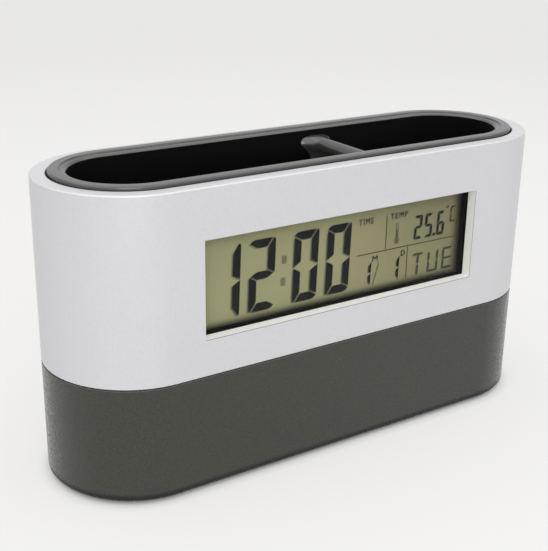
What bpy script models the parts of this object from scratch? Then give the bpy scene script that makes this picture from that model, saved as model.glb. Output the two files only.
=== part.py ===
"""Pen holder clock: a stadium-shaped desk stand with two pen wells, a silver
upper casing, a dark base and a liquid crystal clock behind a front window.

Axes: X runs along the body, -Y is the front with the display, +Z is up.
The origin is on the table plane under the middle of the body. Metres."""

from math import acos, cos, pi, radians, sin, sqrt

import bmesh
import bpy
from mathutils import Vector

# Body outline and heights
BODY_LENGTH = 0.155
BODY_WIDTH = 0.0492
RIM_STAND = 0.00095
FOOT_STAND = 0.0008

# Clearance between touching pieces, and the narrower one at the seam that shows
FIT_GAP = 0.0003
SEAM_GAP = 0.0002

# Upper casing
SLEEVE_WALL = 0.003
SLEEVE_EDGE = 0.0004
COLLAR_WIDTH = 0.004
COLLAR_DEPTH = 0.0035
SHELF_REACH = 0.0032
SHELF_THICKNESS = 0.0015

# Display window in the front of the upper casing, and the wall left round it
WINDOW_HEIGHT = 0.0264
WINDOW_RISE = 0.0101
WINDOW_HEAD = 0.0134
WINDOW_END_MARGIN = 0.0328

# Base shell
BASE_WALL = 0.0024
BASE_FLOOR = 0.0022
BASE_EDGE = 0.0016
LIP_WALL = 0.0015
LIP_RISE = 0.0025
LIP_ROOT = 0.0023

# Rubber feet
FOOT_RADIUS = 0.0045
FOOT_THICKNESS = 0.0016
FOOT_END_INSET = 0.0079
FOOT_SIDE_INSET = 0.0116

# Pen tray
RIM_GROOVE = 0.0005
RIM_WIDTH = 0.0049
RIM_EDGE = 0.0006
RIM_BAND = 0.0027
RIM_STEP = 0.00035
RIM_FILLET = 0.0014
SKIRT_WALL = 0.0014
TRAY_WALL = 0.0015
WELL_FLOOR_EDGE = 0.0018
WELL_END_TAPER = 0.0025
SHOULDER_SLOPE = 1.15

# Divider between the two pen wells
DIVIDER_X = 0.0155
DIVIDER_DROP = 0.0026
BEAD_RADIUS = 0.0024
DIVIDER_WEB = 0.0018
FLARE_WIDTH = 0.0040
FLARE_LENGTH = 0.0048

# Screws, each as head radius, head thickness, shank radius and shank length
CASE_SCREW = (0.0025, 0.0016, 0.0012, 0.019)
TRAY_SCREW = (0.0022, 0.0013, 0.0012, 0.0092)
BOARD_SCREW = (0.0018, 0.0009, 0.0008, 0.0055)
BOX_SCREW = (0.0020, 0.0012, 0.0009, 0.0062)

# Screw head and point proportions, as shares of the head's radius or thickness
HEAD_FLAT = 0.7
HEAD_SIDE = 0.65
SHANK_TIP = 0.35
SLOT_REACH = 0.6
SLOT_WIDTH = 0.16

# Posts and towers that the screws run in
POST_TURN = 77.8
POST_RADIUS = 0.0024
POST_HEIGHT = 0.012
TOWER_WALL = 0.0010
TOWER_NECK = 0.0114
LUG_RADIUS = 0.0024
LUG_OFFSET = 0.0041
LUG_HEIGHT = 0.0093
BOSS_RADIUS = 0.0025

# Display stack, front to back
LENS_THICKNESS = 0.0012
LENS_MARGIN = 0.0015
HOLDER_BACK_WALL = 0.0012
HOLDER_MARGIN = 0.0028
GLASS_THICKNESS = 0.001
GLASS_SIDE_MARGIN = 0.0023
GLASS_LEDGE = 0.0043
REAR_GLASS_MARGIN = 0.0008
REFLECTOR_THICKNESS = 0.0004
BOARD_THICKNESS = 0.001
BOARD_SIDE_MARGIN = 0.0083
BOARD_TOP_MARGIN = 0.0064
BOARD_BOTTOM_MARGIN = 0.0152
BOARD_SCREW_INSET = 0.0026
CHIP_RADIUS = 0.0045
CHIP_HEIGHT = 0.0014
CRYSTAL_RADIUS = 0.001
CRYSTAL_LENGTH = 0.006
THERMISTOR_RADIUS = 0.0012

# Setting buttons, switches and buzzer behind the rear wall
KEY_RISE = 0.0138
KEY_SPACING = 0.014
PANEL_DEPTH = 0.001
PANEL_HEIGHT = 0.013
PANEL_END_MARGIN = 0.008
BUTTON_RADIUS = 0.0035
BUTTON_STAND = 0.0007
BUTTON_EDGE = 0.0006
BUTTON_TRAVEL = 0.0005
FLANGE_WIDTH = 0.0012
FLANGE_THICKNESS = 0.0008
PLUNGER_RADIUS = 0.0016
PLUNGER_LENGTH = 0.0014
SWITCH_SIZE = 0.006
SWITCH_FLOOR = 0.0003
KEY_BOARD_HEIGHT = 0.011
KEY_BOARD_END = 0.012
KEY_SCREW_INSET = 0.0025
BUZZER_SPACING = 0.003
BUZZER_RADIUS = 0.008
BUZZER_THICKNESS = 0.0005
BUZZER_RING_WALL = 0.0012
BUZZER_RING_DEPTH = 0.0018
SOUND_HOLE_RADIUS = 0.00075
SOUND_HOLE_PITCH = 0.003

# Battery compartment
CELL_RADIUS = 0.00525
CELL_LENGTH = 0.0445
CELL_NUB_RADIUS = 0.0019
CELL_NUB_LENGTH = 0.001
CELL_SPACING = 0.0005
CONTACT_THICKNESS = 0.0005
SPRING_LENGTH = 0.0062
SPRING_WIRE_RADIUS = 0.0004
SPRING_TURNS = 3.5
SPRING_FREE_RADIUS = 0.0022
SPRING_ROOT_RADIUS = 0.0036
BOX_WALL = 0.0012
BOX_REAR_MARGIN = 0.0009
BOX_HEADROOM = 0.0053
BOX_EAR_LENGTH = 0.0064
BOX_EAR_THICKNESS = 0.002
BOX_EAR_RISE = 0.005
TAG_LENGTH = 0.0024
TAG_WIDTH = 0.0024
TAG_RISE = 0.0032

# Battery door
DOOR_THICKNESS = 0.002
DOOR_HINGE_RADIUS = 0.0012
DOOR_LAND = 0.0005
DOOR_PIN_RADIUS = 0.0006
DOOR_PIN_LENGTH = 0.0012
DOOR_RIB_WIDTH = 0.0012
THUMB_RADIUS = 0.0046
THUMB_DEPTH = 0.0012
GRIP_LENGTH = 0.018
GRIP_WIDTH = 0.0007
GRIP_DEPTH = 0.0004
GRIP_PITCH = 0.0016

# Leads from the battery contacts, run round the end of the body to the main board,
# with each point of the turn as its share of the turn's radius, its angle in
# degrees and its share of the climb
LEAD_RADIUS = 0.00065
LEAD_STUB = 0.005
LEAD_WALL_SPACE = 0.00375
LEAD_RISE = 0.0062
LEAD_PITCH = 0.0024
LEAD_PAD_INSET = 0.0125
LEAD_PAD_PITCH = 0.004
LEAD_TURN = ((0.80, 58, 0.12), (0.93, 29, 0.18), (1.0, 4, 0.2), (0.97, -22, 0.5),
             (0.90, -49, 0.8), (0.80, -67, 1.0), (0.83, -81, 1.0))

# Ribbon cable from the key board to the main board
RIBBON_WIDTH = 0.005
RIBBON_THICKNESS = 0.0005
RIBBON_BEND = 0.004
RIBBON_TURN_START = 80
RIBBON_TURN_STEP = 19

# Smoothness of round shapes
END_STEPS = 16
HOLE_STEPS = 12
TURN_STEPS = 16
SCREW_STEPS = 10
COIL_STEPS = 8
MERGE = 0.00001

# Places worked out from the sizes above
HALF_LENGTH = BODY_LENGTH / 2
HALF_WIDTH = BODY_WIDTH / 2
END_X = HALF_LENGTH - HALF_WIDTH
FLOOR_TOP = FOOT_STAND + BASE_FLOOR

# Battery box heights, which set the height of the base
BOX_BOTTOM = FLOOR_TOP + FIT_GAP
CELL_LOW_Z = BOX_BOTTOM + BOX_WALL + FIT_GAP + CELL_RADIUS
CELL_HIGH_Z = CELL_LOW_Z + 2 * CELL_RADIUS + CELL_SPACING
BOX_TOP = CELL_HIGH_Z + CELL_RADIUS + FIT_GAP + BOX_WALL
SEAM_HEIGHT = BOX_TOP + BOX_HEADROOM
BASE_TOP = SEAM_HEIGHT - SEAM_GAP
TOWER_SEAT = BASE_TOP - TOWER_NECK

# Window and casing heights above the base
WINDOW_LENGTH = BODY_LENGTH - 2 * WINDOW_END_MARGIN
WINDOW_SILL = SEAM_HEIGHT + WINDOW_RISE
SLEEVE_TOP = WINDOW_SILL + WINDOW_HEIGHT + WINDOW_HEAD
RIM_TOP = SLEEVE_TOP + RIM_STAND
SHELF_TOP = SLEEVE_TOP - COLLAR_DEPTH
KEY_HEIGHT = WINDOW_SILL + KEY_RISE

# Posts in the corners against the inside of the wall, and the feet
POST_REACH = HALF_WIDTH - SLEEVE_WALL - 0.9 * POST_RADIUS
POST_X = END_X + POST_REACH * cos(radians(POST_TURN))
POST_Y = POST_REACH * sin(radians(POST_TURN))
FOOT_X = END_X - FOOT_END_INSET
FOOT_Y = HALF_WIDTH - FOOT_SIDE_INSET

# Display stack from the inside of the front wall towards the tray
FRONT_INNER = -HALF_WIDTH + SLEEVE_WALL
LENS_FRONT = FRONT_INNER + FIT_GAP
LENS_BACK = LENS_FRONT + LENS_THICKNESS
HOLDER_BACK = LENS_BACK + HOLDER_BACK_WALL
GLASS_FRONT = HOLDER_BACK + FIT_GAP
GLASS_BACK = GLASS_FRONT + GLASS_THICKNESS
REAR_GLASS_FRONT = GLASS_BACK + FIT_GAP
REAR_GLASS_BACK = REAR_GLASS_FRONT + GLASS_THICKNESS
REFLECTOR_FRONT = REAR_GLASS_BACK + FIT_GAP
REFLECTOR_BACK = REFLECTOR_FRONT + REFLECTOR_THICKNESS
BOARD_FRONT = REFLECTOR_BACK + FIT_GAP
BOARD_BACK = BOARD_FRONT + BOARD_THICKNESS
BOARD_SCREW_SEAT = BOARD_BACK + FIT_GAP
TRAY_FRONT_OUTER = BOARD_SCREW_SEAT + BOARD_SCREW[1] + FIT_GAP
BOARD_HALF = WINDOW_LENGTH / 2 + BOARD_SIDE_MARGIN
BOARD_TOP = WINDOW_SILL + WINDOW_HEIGHT + BOARD_TOP_MARGIN
BOARD_BOTTOM = WINDOW_SILL - BOARD_BOTTOM_MARGIN
GLASS_TOP = WINDOW_SILL + WINDOW_HEIGHT + GLASS_LEDGE
GLASS_BOTTOM = WINDOW_SILL - GLASS_LEDGE

# Key stack from the inside of the rear wall towards the tray
REAR_INNER = HALF_WIDTH - SLEEVE_WALL
FLANGE_REAR = REAR_INNER - FIT_GAP
BUTTON_BASE = FLANGE_REAR - FLANGE_THICKNESS
PLUNGER_TIP = BUTTON_BASE - FIT_GAP
PLUNGER_BASE = PLUNGER_TIP - PLUNGER_LENGTH
SWITCH_FACE = BUTTON_BASE - BUTTON_TRAVEL - FIT_GAP
SWITCH_BORE_END = PLUNGER_BASE - BUTTON_TRAVEL - FIT_GAP
SWITCH_BACK = SWITCH_BORE_END - SWITCH_FLOOR
KEY_BOARD_REAR = SWITCH_BACK - FIT_GAP
KEY_BOARD_FRONT = KEY_BOARD_REAR - BOARD_THICKNESS
KEY_SCREW_SEAT = KEY_BOARD_FRONT - FIT_GAP
TRAY_BACK_OUTER = KEY_SCREW_SEAT - BOARD_SCREW[1] - FIT_GAP
KEY_XS = [(i - 1.5) * KEY_SPACING for i in range(4)]
KEY_BOARD_HALF = KEY_XS[-1] + KEY_BOARD_END
KEY_SCREW_X = KEY_BOARD_HALF - KEY_SCREW_INSET
BUZZER_RING_RADIUS = BUZZER_RADIUS + FIT_GAP + BUZZER_RING_WALL
BUZZER_X = KEY_BOARD_HALF + BUZZER_SPACING + BUZZER_RING_RADIUS
PANEL_FACE = HALF_WIDTH - PANEL_DEPTH

# Battery box inside the rear wall of the base
BASE_REAR_INNER = HALF_WIDTH - BASE_WALL
BOX_REAR = BASE_REAR_INNER - FIT_GAP
BOX_FRONT = BOX_REAR - BOX_WALL - FIT_GAP - 2 * CELL_RADIUS - BOX_REAR_MARGIN
BOX_INNER_FRONT = BOX_FRONT + BOX_WALL
CELL_Y = BOX_INNER_FRONT + FIT_GAP + CELL_RADIUS
BOX_INNER_HALF = (CELL_LENGTH + SPRING_LENGTH) / 2 + CONTACT_THICKNESS + 2 * FIT_GAP
BOX_HALF = BOX_INNER_HALF + BOX_WALL
PLATE_OUT = BOX_INNER_HALF - FIT_GAP
PLATE_IN = PLATE_OUT - CONTACT_THICKNESS
BOX_EAR_X = BOX_HALF + BOX_EAR_LENGTH / 2 + FIT_GAP
BOX_EAR_Z = BOX_BOTTOM + BOX_EAR_RISE
DOOR_OPENING_HALF = BOX_HALF - DOOR_LAND
DOOR_OPENING_LOW = BOX_BOTTOM + BOX_WALL - FIT_GAP
DOOR_OPENING_HIGH = BOX_TOP - DOOR_LAND
DOOR_HALF = DOOR_OPENING_HALF - FIT_GAP
DOOR_AXIS_Y = HALF_WIDTH - DOOR_HINGE_RADIUS
DOOR_AXIS_Z = DOOR_OPENING_LOW + FIT_GAP + DOOR_HINGE_RADIUS
DOOR_TOP = DOOR_OPENING_HIGH - FIT_GAP

# Pen tray
RIM_INSET = COLLAR_WIDTH + RIM_GROOVE
WELL_INSET = RIM_INSET + RIM_WIDTH
SKIRT_BOTTOM = SHELF_TOP + FIT_GAP
RIM_UNDER = RIM_TOP - TRAY_WALL
TRAY_BOTTOM = FLOOR_TOP + FIT_GAP
WELL_FLOOR = TRAY_BOTTOM + TRAY_WALL
WELL_FRONT = TRAY_FRONT_OUTER + TRAY_WALL
WELL_BACK = TRAY_BACK_OUTER - TRAY_WALL
WELL_BACK_LOW = BOX_FRONT - FIT_GAP - TRAY_WALL
WELL_TOP = RIM_TOP - RIM_STEP - RIM_FILLET
NECK_LOW = BOARD_TOP + FIT_GAP
SHOULDER_LOW = BOX_TOP + BOX_WALL
SHOULDER_HIGH = SHOULDER_LOW + (WELL_BACK - WELL_BACK_LOW) * SHOULDER_SLOPE
WELL_HALF_TOP = HALF_LENGTH - WELL_INSET
WELL_HALF_NECK = WELL_HALF_TOP - WELL_END_TAPER / 3
WELL_HALF_LOW = WELL_HALF_TOP - WELL_END_TAPER
LUG_X = WELL_HALF_LOW + TRAY_WALL + LUG_OFFSET
LUG_Y = (WELL_FRONT + WELL_BACK_LOW) / 2
TRAY_TOWER_TOP = FLOOR_TOP + 2 * TRAY_SCREW[1]
LUG_BOTTOM = TRAY_TOWER_TOP + FIT_GAP
POST_BOTTOM = SEAM_HEIGHT

# Finishes: colour, roughness and metallic value
FINISHES = {
    "silver_paint": ((0.62, 0.62, 0.64), 0.38, 0.35),
    "charcoal_paint": ((0.078, 0.078, 0.066), 0.55, 0.25),
    "tray_plastic": ((0.06, 0.062, 0.058), 0.45, 0.0),
    "black_plastic": ((0.02, 0.02, 0.022), 0.5, 0.0),
    "clear_window": ((0.9, 0.93, 0.93), 0.05, 0.0),
    "lcd_glass": ((0.30, 0.30, 0.16), 0.12, 0.0),
    "reflector_film": ((0.45, 0.45, 0.33), 0.35, 0.4),
    "conductive_rubber": ((0.75, 0.45, 0.42), 0.7, 0.0),
    "circuit_board": ((0.03, 0.16, 0.06), 0.45, 0.0),
    "steel": ((0.6, 0.6, 0.62), 0.28, 1.0),
    "brass": ((0.78, 0.6, 0.3), 0.3, 1.0),
    "button_plastic": ((0.07, 0.07, 0.068), 0.4, 0.0),
    "foot_rubber": ((0.03, 0.03, 0.03), 0.85, 0.0),
    "cell_sleeve": ((0.09, 0.3, 0.16), 0.35, 0.0),
    "red_lead": ((0.5, 0.02, 0.02), 0.45, 0.0),
    "black_lead": ((0.012, 0.012, 0.012), 0.45, 0.0),
    "grey_ribbon": ((0.4, 0.4, 0.42), 0.5, 0.0),
}


# Scene set-up
for old in list(bpy.data.objects):
    bpy.data.objects.remove(old, do_unlink=True)

parts = bpy.data.collections.new("pen_holder_clock")
bpy.context.scene.collection.children.link(parts)
cutters = bpy.data.collections.new("cutters_and_adders")
bpy.context.scene.collection.children.link(cutters)


def make_finish(name):
    color, roughness, metallic = FINISHES[name]
    finish = bpy.data.materials.new(name)
    finish.use_nodes = True
    shader = finish.node_tree.nodes["Principled BSDF"]
    shader.inputs["Base Color"].default_value = (*color, 1)
    shader.inputs["Roughness"].default_value = roughness
    shader.inputs["Metallic"].default_value = metallic
    if name == "clear_window":
        shader.inputs["Transmission Weight"].default_value = 1.0
    return finish


finishes = {name: make_finish(name) for name in FINISHES}


# Modelling helpers
def place_mesh(name, bm, finish, place=(0, 0, 0)):
    """Turn a bmesh into a named part, or into a hidden tool if it has no finish."""
    bmesh.ops.recalc_face_normals(bm, faces=bm.faces[:])
    mesh = bpy.data.meshes.new(name)
    bm.to_mesh(mesh)
    bm.free()
    return place_object(name, mesh, finish, place)


def place_object(name, data, finish, place=(0, 0, 0)):
    piece = bpy.data.objects.new(name, data)
    piece.location = place
    if finish:
        data.materials.append(finishes[finish])
        parts.objects.link(piece)
    else:
        cutters.objects.link(piece)
        piece.hide_render = True
        piece.display_type = "WIRE"
    return piece


def combine(piece, tool, operation):
    step = piece.modifiers.new(tool.name, "BOOLEAN")
    step.object = tool
    step.operation = operation
    step.solver = "EXACT"


def cut(piece, *tools):
    for tool in tools:
        combine(piece, tool, "DIFFERENCE")


def join(piece, *tools):
    for tool in tools:
        combine(piece, tool, "UNION")


def settle(piece, angle=radians(32)):
    """Apply the piece's modifiers and shade its round faces smooth."""
    graph = bpy.context.evaluated_depsgraph_get()
    mesh = bpy.data.meshes.new_from_object(piece.evaluated_get(graph))
    mesh.name = piece.name
    piece.modifiers.clear()
    piece.data = mesh
    mesh.shade_smooth()
    mesh.set_sharp_from_angle(angle=angle)
    return piece


def stadium(half_length, front, back, z, steps=END_STEPS):
    """Points round a stadium: two straight sides and two half circles."""
    radius = (back - front) / 2
    middle = (back + front) / 2
    run = half_length - radius
    ring = []
    for side in (1, -1):
        for i in range(steps + 1):
            turn = side * (pi * i / steps - pi / 2)
            ring.append(Vector((side * (run + radius * cos(turn)),
                                middle + radius * sin(turn), z)))
    return ring


def inset_ring(inset, z):
    return stadium(HALF_LENGTH - inset, inset - HALF_WIDTH, HALF_WIDTH - inset, z)


def loft(name, rings, finish, closed=False):
    """Skin a run of rings that have equal point counts, capped unless closed."""
    bm = bmesh.new()
    loops = [[bm.verts.new(point) for point in ring] for ring in rings]
    pairs = list(zip(loops, loops[1:]))
    if closed:
        pairs.append((loops[-1], loops[0]))
    else:
        bm.faces.new(loops[0])
        bm.faces.new(loops[-1])
    for low, high in pairs:
        for i in range(len(low)):
            j = (i + 1) % len(low)
            bm.faces.new((low[i], low[j], high[j], high[i]))
    return place_mesh(name, bm, finish)


def round_corner(before, corner, after, radius, steps=4):
    """Points of an arc that rounds one corner of a two-dimensional profile."""
    start = (Vector(before) - Vector(corner)).normalized()
    end = (Vector(after) - Vector(corner)).normalized()
    half = start.angle(end) / 2
    reach = radius / sin(half)
    centre = Vector(corner) + (start + end).normalized() * reach
    foot = radius * cos(half) / sin(half)
    first = Vector(corner) + start * foot - centre
    last = Vector(corner) + end * foot - centre
    sweep = first.angle(last)
    points = []
    for i in range(steps + 1):
        part = i / steps
        blend = first * sin((1 - part) * sweep) + last * sin(part * sweep)
        points.append(tuple(centre + blend / sin(sweep)))
    return points


def add_box(bm, low, high):
    made = bmesh.ops.create_cube(bm, size=1)["verts"]
    low = Vector(low)
    high = Vector(high)
    for vert in made:
        vert.co = (low + high) / 2 + vert.co * (high - low)
    return made


def box(name, low, high, finish=None, place=(0, 0, 0)):
    bm = bmesh.new()
    add_box(bm, low, high)
    return place_mesh(name, bm, finish, place)


def plate(name, half_x, low_z, high_z, front, back, finish, corner=0.0012, centre_x=0):
    """A flat plate that faces -Y, with rounded corners."""
    bm = bmesh.new()
    add_box(bm, (centre_x - half_x, front, low_z), (centre_x + half_x, back, high_z))
    corners = []
    for edge in bm.edges:
        run = edge.verts[0].co - edge.verts[1].co
        if abs(run.y) > abs(run.x) + abs(run.z):
            corners.append(edge)
    bmesh.ops.bevel(bm, geom=corners, offset=corner, segments=3, affect="EDGES", profile=0.5)
    return place_mesh(name, bm, finish)


def add_rod(bm, start, end, radius, steps=HOLE_STEPS):
    start = Vector(start)
    run = Vector(end) - start
    made = bmesh.ops.create_cone(bm, cap_ends=True, segments=steps, radius1=radius,
                                 radius2=radius, depth=run.length)["verts"]
    turn = Vector((0, 0, 1)).rotation_difference(run).to_matrix()
    for vert in made:
        vert.co = turn @ vert.co + start + run / 2


def rods(name, runs, radius, finish=None, steps=HOLE_STEPS):
    """Straight rods or holes of one radius, from a list of start and end points."""
    bm = bmesh.new()
    for start, end in runs:
        add_rod(bm, start, end, radius, steps)
    return place_mesh(name, bm, finish)


def turned(name, profile, finish, place=(0, 0, 0), towards=(0, 0, 1), steps=TURN_STEPS):
    """Spin a profile of (radius, height) points, listed top to bottom, with Screw."""
    mesh = bpy.data.meshes.new(name)
    points = [(radius, 0, height) for radius, height in profile]
    mesh.from_pydata(points, [(i, i + 1) for i in range(len(points) - 1)], [])
    piece = place_object(name, mesh, finish, place)
    piece.rotation_mode = "QUATERNION"
    piece.rotation_quaternion = Vector((0, 0, 1)).rotation_difference(Vector(towards))
    spin = piece.modifiers.new("spin", "SCREW")
    spin.steps = steps
    spin.render_steps = steps
    spin.use_merge_vertices = True
    spin.merge_threshold = MERGE
    return piece


def tube(name, points, radius, finish, resolution=2):
    """A wire along a list of points, as a capped and welded curve tube."""
    curve = bpy.data.curves.new(name, "CURVE")
    curve.dimensions = "3D"
    curve.bevel_depth = radius
    curve.bevel_resolution = resolution
    curve.use_fill_caps = True
    spline = curve.splines.new("POLY")
    spline.points.add(len(points) - 1)
    for spot, point in zip(spline.points, points):
        spot.co = (*point, 1)
    guide = bpy.data.objects.new(name + "_curve", curve)
    cutters.objects.link(guide)
    graph = bpy.context.evaluated_depsgraph_get()
    mesh = bpy.data.meshes.new_from_object(guide.evaluated_get(graph))
    bpy.data.objects.remove(guide)
    bm = bmesh.new()
    bm.from_mesh(mesh)
    bpy.data.meshes.remove(mesh)
    bmesh.ops.remove_doubles(bm, verts=bm.verts[:], dist=MERGE)
    return place_mesh(name, bm, finish)


def smooth_route(points, steps=4):
    """Points along a smooth curve through the given ones."""
    ends = [2 * Vector(points[0]) - Vector(points[1])]
    ends += [Vector(point) for point in points]
    ends.append(2 * ends[-1] - ends[-2])
    route = []
    for a, b, c, d in zip(ends, ends[1:], ends[2:], ends[3:]):
        for i in range(steps):
            t = i / steps
            route.append(0.5 * (2 * b + (c - a) * t + (2 * a - 5 * b + 4 * c - d) * t * t
                                + (3 * b - a - 3 * c + d) * t * t * t))
    route.append(ends[-2])
    return route


def screw(name, size, seat, towards, crossed=False):
    """A pan head screw whose head stands on its seat and shank runs the other way."""
    head_radius, head, shank_radius, shank = size
    profile = [(0, head), (head_radius * HEAD_FLAT, head), (head_radius, head * HEAD_SIDE),
               (head_radius, 0), (shank_radius, 0), (shank_radius, -shank + shank_radius),
               (shank_radius * SHANK_TIP, -shank), (0, -shank)]
    piece = turned(name, profile, "steel", seat, towards, SCREW_STEPS)
    reach = head_radius * SLOT_REACH
    width = head * SLOT_WIDTH
    blades = [(reach, width), (width, reach)] if crossed else [(reach, width)]
    for number, (x, y) in enumerate(blades):
        blade = box(f"{name}_slot_{number}", (-x, -y, head * 0.5), (x, y, head * 1.2))
        blade.parent = piece
        cut(piece, blade)
    return piece


def corners(x, y):
    return [(sx * x, sy * y) for sx in (-1, 1) for sy in (-1, 1)]


# Upper casing with its window, posts, bosses and button panel
def make_upper_sleeve():
    top_outer = round_corner((0, SEAM_HEIGHT), (0, SLEEVE_TOP), (COLLAR_WIDTH, SLEEVE_TOP),
                             SLEEVE_EDGE, 2)
    top_inner = round_corner((0, SLEEVE_TOP), (COLLAR_WIDTH, SLEEVE_TOP),
                             (COLLAR_WIDTH, SHELF_TOP), SLEEVE_EDGE / 2, 2)
    shelf_edge = COLLAR_WIDTH + SHELF_REACH
    shelf_under = SHELF_TOP - SHELF_THICKNESS
    profile = [(0, SEAM_HEIGHT), *top_outer, *top_inner, (COLLAR_WIDTH, SHELF_TOP),
               (shelf_edge, SHELF_TOP), (shelf_edge, shelf_under),
               (SLEEVE_WALL, shelf_under), (SLEEVE_WALL, SEAM_HEIGHT)]
    rings = [inset_ring(inset, z) for inset, z in profile]
    sleeve = loft("upper_sleeve", rings, "silver_paint", closed=True)

    sink = SLEEVE_WALL / 3
    post_top = POST_BOTTOM + POST_HEIGHT
    posts = [((x, y, POST_BOTTOM), (x, y, post_top)) for x, y in corners(POST_X, POST_Y)]
    bosses = []
    for x, z in board_screw_places():
        bosses.append(((x, FRONT_INNER - sink, z), (x, BOARD_FRONT - FIT_GAP, z)))
    for x in (-KEY_SCREW_X, KEY_SCREW_X):
        bosses.append(((x, KEY_BOARD_REAR + FIT_GAP, KEY_HEIGHT),
                       (x, REAR_INNER + sink, KEY_HEIGHT)))
    join(sleeve, rods("sleeve_posts", posts, POST_RADIUS))
    join(sleeve, rods("sleeve_bosses", bosses, BOSS_RADIUS))
    ring_face = REAR_INNER - BUZZER_RING_DEPTH
    ring = rods("buzzer_ring", [((BUZZER_X, ring_face, KEY_HEIGHT),
                                 (BUZZER_X, REAR_INNER + sink, KEY_HEIGHT))],
                BUZZER_RING_RADIUS, steps=TURN_STEPS)
    join(sleeve, ring)

    window = box("window_cut",
                 (-WINDOW_LENGTH / 2, -HALF_WIDTH - sink, WINDOW_SILL),
                 (WINDOW_LENGTH / 2, FRONT_INNER + sink, WINDOW_SILL + WINDOW_HEIGHT))
    panel_half = KEY_XS[-1] + PANEL_END_MARGIN
    panel = plate("panel_cut", panel_half, KEY_HEIGHT - PANEL_HEIGHT / 2,
                  KEY_HEIGHT + PANEL_HEIGHT / 2, PANEL_FACE, HALF_WIDTH + sink, None,
                  PANEL_HEIGHT / 4)
    holes = [((x, REAR_INNER - sink, KEY_HEIGHT), (x, HALF_WIDTH, KEY_HEIGHT)) for x in KEY_XS]
    button_holes = rods("button_holes", holes, BUTTON_RADIUS + FIT_GAP, steps=TURN_STEPS)
    pocket = rods("buzzer_pocket", [((BUZZER_X, ring_face - sink, KEY_HEIGHT),
                                     (BUZZER_X, REAR_INNER, KEY_HEIGHT))],
                  BUZZER_RADIUS + FIT_GAP, steps=TURN_STEPS)
    sound = [(0, 0)] + [(SOUND_HOLE_PITCH * cos(i * pi / 3), SOUND_HOLE_PITCH * sin(i * pi / 3))
                        for i in range(6)]
    sound_runs = [((BUZZER_X + dx, REAR_INNER - sink, KEY_HEIGHT + dz),
                   (BUZZER_X + dx, HALF_WIDTH + sink, KEY_HEIGHT + dz)) for dx, dz in sound]
    sound_holes = rods("sound_holes", sound_runs, SOUND_HOLE_RADIUS, steps=8)

    case_pilots = [((x, y, POST_BOTTOM - sink), (x, y, post_top - POST_RADIUS))
                   for x, y in corners(POST_X, POST_Y)]
    small_pilots = []
    for x, z in board_screw_places():
        small_pilots.append(((x, FRONT_INNER, z), (x, BOARD_FRONT, z)))
    for x in (-KEY_SCREW_X, KEY_SCREW_X):
        small_pilots.append(((x, KEY_BOARD_REAR, KEY_HEIGHT), (x, REAR_INNER, KEY_HEIGHT)))
    cut(sleeve, window, panel, button_holes, pocket, sound_holes,
        rods("case_pilots", case_pilots, CASE_SCREW[2] + FIT_GAP),
        rods("small_pilots", small_pilots, BOARD_SCREW[2] + FIT_GAP))
    settle(sleeve)


def board_screw_places():
    x = BOARD_HALF - BOARD_SCREW_INSET
    low = GLASS_BOTTOM + LENS_MARGIN
    high = GLASS_TOP - LENS_MARGIN
    return [(-x, low), (x, low), (-x, high), (x, high)]


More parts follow.
